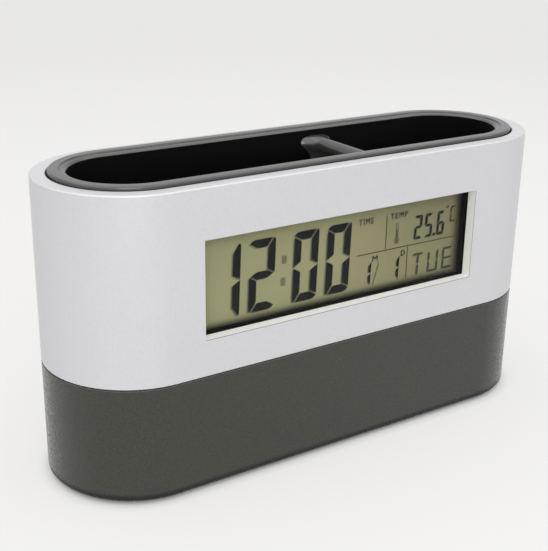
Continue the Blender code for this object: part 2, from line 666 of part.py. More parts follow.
# Base shell with screw towers, feet recesses and the battery opening
def make_base_shell():
    edge = round_corner((BASE_EDGE * 3, FOOT_STAND), (0, FOOT_STAND), (0, BASE_TOP), BASE_EDGE, 3)
    lip_out = SLEEVE_WALL + FIT_GAP
    lip_in = lip_out + LIP_WALL
    profile = [*edge, (0, BASE_TOP), (lip_out, BASE_TOP), (lip_out, BASE_TOP + LIP_RISE),
               (lip_in, BASE_TOP + LIP_RISE), (lip_in, BASE_TOP - LIP_ROOT),
               (BASE_WALL, BASE_TOP - LIP_ROOT - (lip_in - BASE_WALL)), (BASE_WALL, FLOOR_TOP)]
    shell = loft("base_shell", [inset_ring(inset, z) for inset, z in profile], "charcoal_paint")

    under = FOOT_STAND - BASE_FLOOR
    head_bore = CASE_SCREW[0] + FIT_GAP
    root = FLOOR_TOP - BASE_FLOOR / 3
    case_spots = corners(POST_X, POST_Y)
    tray_spots = [(-LUG_X, LUG_Y), (LUG_X, LUG_Y)]
    box_spots = [(-BOX_EAR_X, CELL_Y), (BOX_EAR_X, CELL_Y)]
    towers = [((x, y, root), (x, y, BASE_TOP)) for x, y in case_spots]
    join(shell, rods("case_towers", towers, head_bore + TOWER_WALL))
    tray_bore = TRAY_SCREW[0] + FIT_GAP
    small_towers = [((x, y, root), (x, y, TRAY_TOWER_TOP)) for x, y in tray_spots]
    join(shell, rods("tray_towers", small_towers, tray_bore + TOWER_WALL))
    box_bosses = [((x, y, root), (x, y, BOX_EAR_Z - FIT_GAP)) for x, y in box_spots]
    join(shell, rods("box_bosses", box_bosses, BOSS_RADIUS))

    notch_low = BASE_TOP - FIT_GAP / 3
    notches = [((x, y, notch_low), (x, y, BASE_TOP + 2 * LIP_RISE)) for x, y in case_spots]
    heads = [((x, y, under), (x, y, TOWER_SEAT)) for x, y in case_spots]
    shanks = [((x, y, TOWER_SEAT - FIT_GAP), (x, y, BASE_TOP + LIP_RISE)) for x, y in case_spots]
    tray_seat = TRAY_TOWER_TOP - TRAY_SCREW[1]
    tray_heads = [((x, y, under), (x, y, tray_seat)) for x, y in tray_spots]
    tray_shanks = [((x, y, tray_seat - FIT_GAP), (x, y, TRAY_TOWER_TOP + LIP_RISE))
                   for x, y in tray_spots]
    box_pilots = [((x, y, FLOOR_TOP), (x, y, BOX_EAR_Z + LIP_RISE)) for x, y in box_spots]
    foot_pockets = [((x, y, under), (x, y, FOOT_THICKNESS + FIT_GAP))
                    for x, y in corners(FOOT_X, FOOT_Y)]
    opening = box("door_cut", (-DOOR_OPENING_HALF, BOX_REAR, DOOR_OPENING_LOW),
                  (DOOR_OPENING_HALF, HALF_WIDTH + BASE_WALL, DOOR_OPENING_HIGH))
    socket_end = DOOR_HALF + DOOR_PIN_LENGTH + FIT_GAP
    sockets = rods("door_sockets", [((-socket_end, DOOR_AXIS_Y, DOOR_AXIS_Z),
                                     (socket_end, DOOR_AXIS_Y, DOOR_AXIS_Z))],
                   DOOR_PIN_RADIUS + FIT_GAP)
    thumb = rods("thumb_notch", [((0, HALF_WIDTH - THUMB_DEPTH, DOOR_OPENING_HIGH),
                                  (0, HALF_WIDTH + THUMB_DEPTH, DOOR_OPENING_HIGH))],
                 THUMB_RADIUS, steps=TURN_STEPS)
    cut(shell, rods("post_notches", notches, POST_RADIUS + FIT_GAP),
        rods("case_counterbores", heads, head_bore),
        rods("case_clearances", shanks, CASE_SCREW[2] + FIT_GAP),
        rods("tray_counterbores", tray_heads, tray_bore),
        rods("tray_clearances", tray_shanks, TRAY_SCREW[2] + FIT_GAP),
        rods("box_pilots", box_pilots, BOX_SCREW[2] + FIT_GAP),
        rods("foot_pockets", foot_pockets, FOOT_RADIUS + FIT_GAP, steps=TURN_STEPS),
        opening, sockets, thumb)
    settle(shell)


# Pen tray, moulded in one with its rim, skirt and divider
def well_sections(wall):
    """Stadiums up the well from the floor to its mouth, grown outwards by a wall."""
    low = WELL_HALF_LOW + wall
    neck = WELL_HALF_NECK + wall
    front = WELL_FRONT - wall
    back_low = WELL_BACK_LOW + wall
    back = WELL_BACK + wall
    floor = WELL_FLOOR - wall
    edge = WELL_FLOOR_EDGE
    third = edge * 0.3
    return [stadium(low - edge, front + edge, back_low - edge, floor),
            stadium(low - third, front + third, back_low - third, floor + third),
            stadium(low, front, back_low, floor + edge),
            stadium(low, front, back_low, SHOULDER_LOW),
            stadium(low, front, back, SHOULDER_HIGH),
            stadium(neck, front, back, NECK_LOW),
            inset_ring(WELL_INSET - wall, WELL_TOP)]


def make_pen_tray():
    step_inset = RIM_INSET + RIM_BAND
    inner_top = RIM_TOP - RIM_STEP
    fillet = round_corner((WELL_INSET, WELL_TOP), (WELL_INSET, inner_top),
                          (step_inset, inner_top), RIM_FILLET, 4)
    outer = round_corner((step_inset, RIM_TOP), (RIM_INSET, RIM_TOP),
                         (RIM_INSET, SKIRT_BOTTOM), RIM_EDGE, 3)
    skirt_inner = RIM_INSET + SKIRT_WALL
    rim = [*fillet[1:], (step_inset + RIM_STEP / 2, inner_top), (step_inset, RIM_TOP), *outer,
           (RIM_INSET, SKIRT_BOTTOM), (skirt_inner, SKIRT_BOTTOM), (skirt_inner, RIM_UNDER),
           (WELL_INSET - TRAY_WALL, RIM_UNDER)]
    rings = well_sections(0)
    rings += [inset_ring(inset, z) for inset, z in rim]
    rings += reversed(well_sections(TRAY_WALL)[:-1])
    tray = loft("pen_tray", rings, "tray_plastic")

    divider = loft("divider_block", divider_sections(), None)
    inside = loft("well_mid_skin", well_sections(TRAY_WALL / 2), None)
    combine(divider, inside, "INTERSECT")
    join(tray, divider)

    lug_top = LUG_BOTTOM + LUG_HEIGHT
    wall_x = WELL_HALF_LOW + TRAY_WALL / 2
    bm = bmesh.new()
    for side in (-1, 1):
        lug = side * LUG_X
        ends = sorted((side * wall_x, lug))
        add_box(bm, (ends[0], LUG_Y - LUG_RADIUS / 2, LUG_BOTTOM),
                (ends[1], LUG_Y + LUG_RADIUS / 2, lug_top))
    webs = place_mesh("lug_webs", bm, None)
    spots = (-LUG_X, LUG_X)
    lugs = rods("lug_rods", [((x, LUG_Y, LUG_BOTTOM), (x, LUG_Y, lug_top)) for x in spots],
                LUG_RADIUS)
    pilots = rods("lug_pilots", [((x, LUG_Y, LUG_BOTTOM - TRAY_WALL),
                                  (x, LUG_Y, lug_top - TRAY_WALL)) for x in spots],
                  TRAY_SCREW[2] + FIT_GAP)
    join(tray, webs, lugs)
    cut(tray, pilots)
    settle(tray)


def divider_sections():
    """Arched sections of the divider from front to back, flared at both walls."""
    bead_middle = RIM_TOP - DIVIDER_DROP - BEAD_RADIUS
    front = -HALF_WIDTH + WELL_INSET
    sections = []
    flare_steps = 5
    reach = [FLARE_LENGTH * i / flare_steps for i in range(flare_steps + 1)]
    places = [front + step for step in reach]
    places += [-y for y in reversed(places)]
    for y in [front - TRAY_WALL, *places, TRAY_WALL - front]:
        depth = min(1.0, max(0.0, 1 - (abs(front) - abs(y)) / FLARE_LENGTH))
        flare = FLARE_WIDTH * (1 - sqrt(1 - depth * depth))
        half = BEAD_RADIUS + flare
        web = DIVIDER_WEB / 2 + flare * 0.6
        ring = [(-web, TRAY_BOTTOM), (-web, bead_middle - 2 * BEAD_RADIUS)]
        for i in range(11):
            turn = pi + radians(25) - i * radians(23)
            ring.append((half * cos(turn), bead_middle + BEAD_RADIUS * sin(turn)))
        ring += [(web, bead_middle - 2 * BEAD_RADIUS), (web, TRAY_BOTTOM)]
        sections.append([Vector((DIVIDER_X + x, y, z)) for x, z in ring])
    return sections


# Window lens, frame and liquid crystal display
def make_display():
    half = WINDOW_LENGTH / 2
    sill = WINDOW_SILL
    head = WINDOW_SILL + WINDOW_HEIGHT
    lens_low = sill - LENS_MARGIN
    lens_high = head + LENS_MARGIN
    lens = plate("window_lens", half + LENS_MARGIN, lens_low, lens_high, LENS_FRONT, LENS_BACK,
                 "clear_window", 0.0006)
    settle(lens)
    holder = plate("display_holder", half + HOLDER_MARGIN, sill - HOLDER_MARGIN,
                   head + HOLDER_MARGIN, LENS_FRONT, HOLDER_BACK, "black_plastic")
    rebate = box("lens_rebate",
                 (-half - LENS_MARGIN - FIT_GAP, LENS_FRONT - LENS_THICKNESS, lens_low - FIT_GAP),
                 (half + LENS_MARGIN + FIT_GAP, LENS_BACK + FIT_GAP / 3, lens_high + FIT_GAP))
    through = box("holder_window", (-half, LENS_FRONT - LENS_THICKNESS, sill),
                  (half, HOLDER_BACK + LENS_THICKNESS, head))
    cut(holder, rebate, through)
    settle(holder)

    glass_half = half + GLASS_SIDE_MARGIN
    settle(plate("lcd_front_glass", glass_half, GLASS_BOTTOM, GLASS_TOP, GLASS_FRONT, GLASS_BACK,
                 "lcd_glass", 0.0004))
    rear_low = sill - REAR_GLASS_MARGIN
    rear_high = head + REAR_GLASS_MARGIN
    settle(plate("lcd_rear_glass", glass_half, rear_low, rear_high, REAR_GLASS_FRONT,
                 REAR_GLASS_BACK, "lcd_glass", 0.0004))
    settle(plate("lcd_reflector", glass_half - FIT_GAP, rear_low + FIT_GAP, rear_high - FIT_GAP,
                 REFLECTOR_FRONT, REFLECTOR_BACK, "reflector_film", 0.0004))
    strips = {"zebra_strip_lower": (GLASS_BOTTOM + FIT_GAP, rear_low - FIT_GAP),
              "zebra_strip_upper": (rear_high + FIT_GAP, GLASS_TOP - FIT_GAP)}
    for name, (low, high) in strips.items():
        settle(box(name, (-half, REAR_GLASS_FRONT, low), (half, REFLECTOR_BACK, high),
                   "conductive_rubber"))


# Main circuit board and what it carries
def make_main_board():
    board = plate("main_board", BOARD_HALF, BOARD_BOTTOM, BOARD_TOP, BOARD_FRONT, BOARD_BACK,
                  "circuit_board")
    runs = [((x, BOARD_FRONT - BOARD_THICKNESS, z), (x, BOARD_BACK + BOARD_THICKNESS, z))
            for x, z in board_screw_places()]
    cut(board, rods("board_holes", runs, BOARD_SCREW[2] + FIT_GAP))
    settle(board)
    for number, (x, z) in enumerate(board_screw_places(), 1):
        settle(screw(f"board_screw_{number}", BOARD_SCREW, (x, BOARD_SCREW_SEAT, z), (0, 1, 0)))

    seat = BOARD_FRONT - FIT_GAP
    row = (BOARD_BOTTOM + GLASS_BOTTOM) / 2
    dome = [(CHIP_RADIUS * sin(turn), CHIP_HEIGHT * cos(turn))
            for turn in (i * pi / 10 for i in range(6))]
    chip = turned("controller_blob", [*dome, (0, 0)], "black_plastic", (0, seat, row),
                  (0, -1, 0), HOLE_STEPS)
    settle(chip, radians(50))
    edge = CRYSTAL_RADIUS * 0.3
    can = [(0, CRYSTAL_LENGTH), (CRYSTAL_RADIUS - edge, CRYSTAL_LENGTH),
           (CRYSTAL_RADIUS, CRYSTAL_LENGTH - edge), (CRYSTAL_RADIUS, 0), (0, 0)]
    settle(turned("crystal_can", can, "steel",
                  (CHIP_RADIUS + CRYSTAL_LENGTH / 2, seat - CRYSTAL_RADIUS, row), (1, 0, 0), 12))
    bead = [(THERMISTOR_RADIUS * sin(turn), THERMISTOR_RADIUS * cos(turn))
            for turn in (i * pi / 6 for i in range(7))]
    settle(turned("thermistor", bead, "black_plastic",
                  (-CHIP_RADIUS - CRYSTAL_LENGTH, seat - THERMISTOR_RADIUS, row), (0, 0, 1), 12),
           radians(50))


# Buttons with their switches on the key board, and the buzzer
def make_keys():
    low = KEY_HEIGHT - KEY_BOARD_HEIGHT / 2
    high = KEY_HEIGHT + KEY_BOARD_HEIGHT / 2
    board = plate("key_board", KEY_BOARD_HALF, low, high, KEY_BOARD_FRONT, KEY_BOARD_REAR,
                  "circuit_board")
    runs = [((x, KEY_BOARD_FRONT - BOARD_THICKNESS, KEY_HEIGHT),
             (x, KEY_BOARD_REAR + BOARD_THICKNESS, KEY_HEIGHT)) for x in (-KEY_SCREW_X, KEY_SCREW_X)]
    cut(board, rods("key_board_holes", runs, BOARD_SCREW[2] + FIT_GAP))
    settle(board)
    for side, x in (("left", -KEY_SCREW_X), ("right", KEY_SCREW_X)):
        settle(screw(f"key_board_screw_{side}", BOARD_SCREW, (x, KEY_SCREW_SEAT, KEY_HEIGHT),
                     (0, -1, 0)))

    cap = PANEL_FACE + BUTTON_STAND - BUTTON_BASE
    shoulder = [(BUTTON_RADIUS - BUTTON_EDGE + BUTTON_EDGE * sin(turn),
                 cap - BUTTON_EDGE + BUTTON_EDGE * cos(turn))
                for turn in (i * pi / 6 for i in range(4))]
    flange = BUTTON_RADIUS + FLANGE_WIDTH
    button_profile = [(0, cap), *shoulder, (BUTTON_RADIUS, FLANGE_THICKNESS),
                      (flange, FLANGE_THICKNESS), (flange, 0), (0, 0)]
    plunger_profile = [(0, PLUNGER_LENGTH), (PLUNGER_RADIUS, PLUNGER_LENGTH),
                       (PLUNGER_RADIUS, 0), (0, 0)]
    for name, x in zip(("mode", "set", "up", "down"), KEY_XS):
        button = turned(f"{name}_button", button_profile, "button_plastic",
                        (x, BUTTON_BASE, KEY_HEIGHT), (0, 1, 0))
        settle(button)
        plunger = turned(f"{name}_plunger", plunger_profile, "button_plastic",
                         (x, PLUNGER_BASE, KEY_HEIGHT), (0, 1, 0), 12)
        settle(plunger)
        half = SWITCH_SIZE / 2
        case = plate(f"{name}_switch", half, KEY_HEIGHT - half, KEY_HEIGHT + half, SWITCH_BACK,
                     SWITCH_FACE, "steel", SWITCH_SIZE / 12, x)
        bore = rods(f"{name}_bore", [((x, SWITCH_BORE_END, KEY_HEIGHT),
                                      (x, SWITCH_FACE + BUTTON_TRAVEL, KEY_HEIGHT))],
                    PLUNGER_RADIUS + FIT_GAP, steps=12)
        cut(case, bore)
        settle(case)

    face = BUZZER_THICKNESS
    layer = face * 0.6
    disc = [(0, face), (BUZZER_RADIUS * 0.68, face), (BUZZER_RADIUS * 0.68, layer),
            (BUZZER_RADIUS, layer), (BUZZER_RADIUS, 0), (0, 0)]
    settle(turned("piezo_buzzer", disc, "brass", (BUZZER_X, REAR_INNER - FIT_GAP, KEY_HEIGHT),
                  (0, -1, 0)))


# Battery box, cells and contacts
def make_battery_box():
    case = box("battery_box", (-BOX_HALF, BOX_FRONT, BOX_BOTTOM), (BOX_HALF, BOX_REAR, BOX_TOP),
               "black_plastic")
    half_ear = BOX_EAR_LENGTH / 2
    inner_low = BOX_BOTTOM + BOX_WALL
    inner_high = BOX_TOP - BOX_WALL
    bm = bmesh.new()
    for side in (-1, 1):
        ends = sorted((side * (BOX_HALF - BOX_WALL / 2), side * (BOX_EAR_X + half_ear - FIT_GAP)))
        add_box(bm, (ends[0], CELL_Y - half_ear, BOX_EAR_Z),
                (ends[1], CELL_Y + half_ear, BOX_EAR_Z + BOX_EAR_THICKNESS))
    join(case, place_mesh("box_ears", bm, None))
    bay = box("cell_bay", (-BOX_INNER_HALF, BOX_INNER_FRONT, inner_low),
              (BOX_INNER_HALF, BOX_REAR + BOX_WALL, inner_high))
    bm = bmesh.new()
    for z in (CELL_LOW_Z, CELL_HIGH_Z):
        add_box(bm, (BOX_INNER_HALF - BOX_WALL, CELL_Y - TAG_WIDTH / 2 - FIT_GAP,
                     z + TAG_RISE - CONTACT_THICKNESS / 2 - FIT_GAP),
                (BOX_HALF + BOX_WALL, CELL_Y + TAG_WIDTH / 2 + FIT_GAP,
                 z + TAG_RISE + CONTACT_THICKNESS / 2 + FIT_GAP))
    tag_slots = place_mesh("tag_slots", bm, None)
    ears = [((x, CELL_Y, BOX_EAR_Z - BOX_WALL), (x, CELL_Y, BOX_EAR_Z + 2 * BOX_EAR_THICKNESS))
            for x in (-BOX_EAR_X, BOX_EAR_X)]
    cut(case, bay, tag_slots, rods("ear_holes", ears, BOX_SCREW[2] + FIT_GAP))
    middle = (CELL_LOW_Z + CELL_HIGH_Z) / 2
    ridge = box("cell_ridge", (-CELL_LENGTH / 3, BOX_INNER_FRONT - BOX_WALL / 2,
                               middle - BOX_WALL / 2),
                (CELL_LENGTH / 3, CELL_Y - CELL_RADIUS * 0.62, middle + BOX_WALL / 2))
    join(case, ridge)
    settle(case)
    seat = BOX_EAR_Z + BOX_EAR_THICKNESS + FIT_GAP
    for side, x in (("left", -BOX_EAR_X), ("right", BOX_EAR_X)):
        settle(screw(f"box_screw_{side}", BOX_SCREW, (x, CELL_Y, seat), (0, 0, 1)))

    body = CELL_LENGTH - CELL_NUB_LENGTH
    edge = CELL_RADIUS * 0.1
    cell = [(0, CELL_LENGTH), (CELL_NUB_RADIUS, CELL_LENGTH), (CELL_NUB_RADIUS, body),
            (CELL_RADIUS - edge, body), (CELL_RADIUS, body - edge), (CELL_RADIUS, edge),
            (CELL_RADIUS - edge, 0), (0, 0)]
    flat_end = PLATE_IN - FIT_GAP - CELL_LENGTH
    settle(turned("battery_upper", cell, "cell_sleeve", (flat_end, CELL_Y, CELL_HIGH_Z),
                  (1, 0, 0)))
    settle(turned("battery_lower", cell, "cell_sleeve", (-flat_end, CELL_Y, CELL_LOW_Z),
                  (-1, 0, 0)))


def contact_plate(name, side, low_z, high_z, tag_z=None):
    half = CELL_RADIUS * 0.85
    bm = bmesh.new()
    ends = sorted((side * PLATE_IN, side * PLATE_OUT))
    add_box(bm, (ends[0], CELL_Y - half, low_z - half), (ends[1], CELL_Y + half, high_z + half))
    metal = place_mesh(name, bm, "steel")
    if tag_z:
        tag = box(name + "_tag",
                  (PLATE_IN + CONTACT_THICKNESS / 2, CELL_Y - TAG_WIDTH / 2,
                   tag_z + TAG_RISE - CONTACT_THICKNESS / 2),
                  (BOX_HALF + TAG_LENGTH, CELL_Y + TAG_WIDTH / 2,
                   tag_z + TAG_RISE + CONTACT_THICKNESS / 2))
        join(metal, tag)
    return metal


def cell_spring(name, side, z):
    """A conical coil from its contact plate to the flat end of a cell."""
    count = round(SPRING_TURNS * COIL_STEPS)
    length = SPRING_LENGTH - FIT_GAP - 2 * SPRING_WIRE_RADIUS
    points = []
    for i in range(count + 1):
        part = i / count
        turn = 2 * pi * i / COIL_STEPS
        radius = SPRING_ROOT_RADIUS + (SPRING_FREE_RADIUS - SPRING_ROOT_RADIUS) * part
        points.append((side * (PLATE_IN - length * part), CELL_Y + radius * cos(turn),
                       z + radius * sin(turn)))
    return tube(name, points, SPRING_WIRE_RADIUS, None, 1)


def make_contacts():
    bridge = contact_plate("bridge_contact", -1, CELL_LOW_Z, CELL_HIGH_Z)
    join(bridge, cell_spring("bridge_coil", -1, CELL_HIGH_Z))
    settle(bridge)
    negative = contact_plate("negative_contact", 1, CELL_LOW_Z, CELL_LOW_Z, CELL_LOW_Z)
    join(negative, cell_spring("negative_coil", 1, CELL_LOW_Z))
    settle(negative)
    settle(contact_plate("positive_contact", 1, CELL_HIGH_Z, CELL_HIGH_Z, CELL_HIGH_Z))


# Battery door, which tips out about two pins at its lower edge
def make_battery_door():
    inner = DOOR_HINGE_RADIUS - DOOR_THICKNESS
    height = DOOR_TOP - DOOR_AXIS_Z
    sweep = acos(inner / DOOR_HINGE_RADIUS)
    arc = [(DOOR_HINGE_RADIUS * cos(sweep * i / 6), -DOOR_HINGE_RADIUS * sin(sweep * i / 6))
           for i in range(7)]
    outline = [(inner, height), (DOOR_HINGE_RADIUS, height), *arc]
    rings = [[Vector((x, y, z)) for y, z in outline] for x in (-DOOR_HALF, DOOR_HALF)]
    door = loft("battery_door", rings, "charcoal_paint")
    door.location = (0, DOOR_AXIS_Y, DOOR_AXIS_Z)

    pin_end = DOOR_HALF + DOOR_PIN_LENGTH
    pins = [((side * (DOOR_HALF - DOOR_PIN_LENGTH), DOOR_AXIS_Y, DOOR_AXIS_Z),
             (side * pin_end, DOOR_AXIS_Y, DOOR_AXIS_Z)) for side in (-1, 1)]
    join(door, rods("door_pins", pins, DOOR_PIN_RADIUS, steps=12))
    inner_face = HALF_WIDTH - DOOR_THICKNESS
    bm = bmesh.new()
    for x in (-DOOR_HALF / 3, DOOR_HALF / 3):
        add_box(bm, (x - DOOR_RIB_WIDTH / 2, CELL_Y + CELL_RADIUS + FIT_GAP, CELL_LOW_Z),
                (x + DOOR_RIB_WIDTH / 2, inner_face + FIT_GAP, CELL_HIGH_Z))
    join(door, place_mesh("door_ribs", bm, None))
    bm = bmesh.new()
    for i in range(3):
        z = DOOR_TOP - (i + 2.5) * GRIP_PITCH
        add_box(bm, (-GRIP_LENGTH / 2, HALF_WIDTH - GRIP_DEPTH, z - GRIP_WIDTH / 2),
                (GRIP_LENGTH / 2, HALF_WIDTH + GRIP_DEPTH, z + GRIP_WIDTH / 2))
    cut(door, place_mesh("door_grips", bm, None))
    settle(door)


# Leads from the battery contacts and the ribbon from the key board
def end_point(reach, degrees, z, side=1):
    """A point round the end of the body, by its distance from the end's centre."""
    turn = radians(degrees)
    return (side * (END_X + reach * cos(turn)), reach * sin(turn), z)


def make_wiring():
    tag_end = BOX_HALF + TAG_LENGTH + FIT_GAP
    turn_radius = HALF_WIDTH - BASE_WALL - LEAD_WALL_SPACE
    thick = LEAD_RADIUS
    for order, (color, cell_z) in enumerate((("black", CELL_LOW_Z), ("red", CELL_HIGH_Z))):
        start_z = cell_z + TAG_RISE
        board_z = BOARD_BOTTOM + LEAD_RISE + order * LEAD_PITCH
        pad_x = BOARD_HALF - LEAD_PAD_INSET + order * LEAD_PAD_PITCH
        climb = board_z - start_z
        points = [(tag_end, CELL_Y, start_z), (tag_end + LEAD_STUB, CELL_Y, start_z),
                  (END_X - LEAD_STUB, CELL_Y - 2 * thick, start_z + climb * 0.08)]
        for share, degrees, rise in LEAD_TURN:
            points.append(end_point(turn_radius * share, degrees, start_z + climb * rise))
        points += [(END_X, BOARD_FRONT - 3 * thick, board_z),
                   (END_X - 5 * thick, BOARD_FRONT - 4 * thick, board_z),
                   (pad_x + 3 * thick, BOARD_FRONT - 3 * thick, board_z - 2 * thick),
                   (pad_x, BOARD_FRONT - thick - FIT_GAP, board_z - 2 * thick)]
        tube(f"lead_{color}", smooth_route(points, 2), LEAD_RADIUS, f"{color}_lead", 1)

    reach = REAR_INNER - (REAR_INNER - TRAY_BACK_OUTER) / 2.5
    clear = FIT_GAP + RIBBON_THICKNESS
    bends = [(-KEY_BOARD_HALF - FIT_GAP, KEY_BOARD_REAR - BOARD_THICKNESS / 2),
             (-KEY_BOARD_HALF - RIBBON_BEND, KEY_BOARD_REAR),
             (-END_X + 2 * RIBBON_BEND, reach - RIBBON_THICKNESS),
             (-END_X + RIBBON_BEND / 2, reach)]
    for i in range(9):
        x, y, _ = end_point(reach, RIBBON_TURN_START - i * RIBBON_TURN_STEP, 0, -1)
        bends.append((x, y))
    bends += [(-END_X - RIBBON_BEND / 4, BOARD_FRONT - 3 * clear),
              (-END_X + RIBBON_BEND / 4, BOARD_FRONT - 1.5 * clear),
              (-END_X + RIBBON_BEND * 0.75, BOARD_FRONT - clear)]
    line = smooth_route([(x, y, KEY_HEIGHT - RIBBON_WIDTH / 2) for x, y in bends], 2)
    bm = bmesh.new()
    low = [bm.verts.new(point) for point in line]
    edges = [bm.edges.new(pair) for pair in zip(low, low[1:])]
    wall = bmesh.ops.extrude_edge_only(bm, edges=edges)["geom"]
    for item in wall:
        if isinstance(item, bmesh.types.BMVert):
            item.co.z += RIBBON_WIDTH
    mesh = bpy.data.meshes.new("key_ribbon")
    bm.to_mesh(mesh)
    bm.free()
    ribbon = place_object("key_ribbon", mesh, "grey_ribbon")
    thick = ribbon.modifiers.new("thickness", "SOLIDIFY")
    thick.thickness = RIBBON_THICKNESS
    thick.offset = 0
    settle(ribbon)


# Screws from below and the rubber feet
def make_fixings():
    names = ("front_left", "rear_left", "front_right", "rear_right")
    for name, (x, y) in zip(names, corners(POST_X, POST_Y)):
        settle(screw(f"case_screw_{name}", CASE_SCREW, (x, y, TOWER_SEAT - FIT_GAP), (0, 0, -1),
                     True))
    tray_seat = TRAY_TOWER_TOP - TRAY_SCREW[1] - FIT_GAP
    for side, x in (("left", -LUG_X), ("right", LUG_X)):
        settle(screw(f"tray_screw_{side}", TRAY_SCREW, (x, LUG_Y, tray_seat), (0, 0, -1),
                     True))
    edge = FOOT_THICKNESS / 4
    foot = [(0, FOOT_THICKNESS), (FOOT_RADIUS, FOOT_THICKNESS), (FOOT_RADIUS, edge),
            (FOOT_RADIUS - edge, 0), (0, 0)]
    for name, (x, y) in zip(names, corners(FOOT_X, FOOT_Y)):
        settle(turned(f"foot_{name}", foot, "foot_rubber", (x, y, 0)))


make_upper_sleeve()
make_base_shell()
make_pen_tray()
make_display()
make_main_board()
make_keys()
make_battery_box()
make_contacts()
make_battery_door()
make_wiring()
make_fixings()
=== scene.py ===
"""Pen holder clock dressed for a studio picture: painted casings, a moulded pen
tray, a liquid crystal display behind a clear window, buttons, screws and feet.

X runs along the body, -Y is the front with the display, +Z is up. Metres."""

from math import cos, pi, radians, sin, sqrt

import bmesh
import bpy
from mathutils import Matrix, Vector


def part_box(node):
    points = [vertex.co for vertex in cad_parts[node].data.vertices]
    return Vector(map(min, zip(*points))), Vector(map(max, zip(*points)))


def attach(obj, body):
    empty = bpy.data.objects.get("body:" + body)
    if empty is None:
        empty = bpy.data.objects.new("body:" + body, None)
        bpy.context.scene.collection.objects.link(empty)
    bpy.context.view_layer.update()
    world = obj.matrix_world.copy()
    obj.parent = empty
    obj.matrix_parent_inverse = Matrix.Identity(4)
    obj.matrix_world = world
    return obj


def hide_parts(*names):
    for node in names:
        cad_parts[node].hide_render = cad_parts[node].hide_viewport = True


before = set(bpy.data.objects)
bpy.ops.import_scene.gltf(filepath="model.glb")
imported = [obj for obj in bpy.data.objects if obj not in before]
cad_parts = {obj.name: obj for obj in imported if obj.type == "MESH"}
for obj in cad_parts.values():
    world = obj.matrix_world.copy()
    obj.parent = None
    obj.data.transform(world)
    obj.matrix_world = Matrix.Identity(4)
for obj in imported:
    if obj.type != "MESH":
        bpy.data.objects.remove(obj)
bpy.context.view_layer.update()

# Corners of the frame's nodes
sleeve_low, sleeve_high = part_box("upper_sleeve")
base_low, base_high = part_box("base_shell")
tray_low, tray_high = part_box("pen_tray")
lens_low, lens_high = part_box("window_lens")
box_low, box_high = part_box("battery_box")
foot_low, foot_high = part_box("foot_rear_right")
case_screw_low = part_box("case_screw_rear_right")[0]
tray_screw_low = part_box("tray_screw_right")[0]
door_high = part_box("battery_door")[1]


def centre_of(node):
    return [(low + high) / 2 for low, high in zip(*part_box(node))]


# Clearances and walls that the frame's boxes don't show
FIT_GAP = 0.0003
SEAM_GAP = 0.0002
SLEEVE_WALL = 0.003
COLLAR_WIDTH = 0.004
COLLAR_DEPTH = 0.0035
SHELF_REACH = 0.0032
SHELF_THICKNESS = 0.0015
SLEEVE_EDGE = 0.0004
SEAM_EDGE = SLEEVE_EDGE / 2
BASE_WALL = 0.0024
BASE_FLOOR = 0.0022
BASE_EDGE = 0.0016
LIP_WALL = 0.0015
LIP_ROOT = 0.0023
LENS_MARGIN = 0.0015
RIM_GROOVE = 0.0005
RIM_WIDTH = 0.0049
RIM_EDGE = 0.0006
RIM_BAND = 0.0027
RIM_STEP = 0.00035
RIM_FILLET = 0.0014
SKIRT_WALL = 0.0014
TRAY_WALL = 0.0015
WELL_FLOOR_EDGE = 0.0018
WELL_END_TAPER = 0.0025
SHOULDER_SLOPE = 1.15
DIVIDER_X = 0.0155
DIVIDER_DROP = 0.0026
BEAD_RADIUS = 0.0024
BEAD_SWEEP = 230
BEAD_STEPS = 24
DIVIDER_WEB = 0.0018
FLARE_WIDTH = 0.0062
FLARE_LENGTH = 0.0058
FLARE_STEPS = 14
FLARE_WEB_SHARE = 0.6
PANEL_DEPTH = 0.001
PANEL_HEIGHT = 0.013
PANEL_END_MARGIN = 0.008
THUMB_RADIUS = 0.0046
THUMB_DEPTH = 0.0012
SOUND_HOLE_RADIUS = 0.00075
SOUND_HOLE_PITCH = 0.003
POST_RADIUS = 0.0024
POST_HEIGHT = 0.012
TOWER_WALL = 0.001
CASE_HEAD = 0.0016
CASE_HEAD_RADIUS = 0.0025
TRAY_HEAD = 0.0013
TRAY_HEAD_RADIUS = 0.0022
CASE_BORE = CASE_HEAD_RADIUS + FIT_GAP
TRAY_BORE = TRAY_HEAD_RADIUS + FIT_GAP
DOOR_PIN_RADIUS = 0.0006
DOOR_PIN_LENGTH = 0.0012
DOOR_HINGE_RADIUS = 0.0012
BOX_WALL = 0.0012
BUTTON_RADIUS = 0.0035
BUTTON_EDGE = 0.0006
BUTTON_DISH = BUTTON_EDGE / 4
FLANGE_THICKNESS = 0.0008

# Dish of the buttons, ring of the feet, and heads, slots and threads of the screws, as shares
DISH_PROFILE = ((0, 1), (0.35, 0.8), (0.6, 0.25), (0.75, 0))
FOOT_RING = 0.55
HEAD_FLAT = 0.6
HEAD_RIM = 0.55
SLOT_HALF = 0.16
THREAD_PITCH = 0.8
THREAD_ROOT = 0.72
SCREW_TIP = 0.3

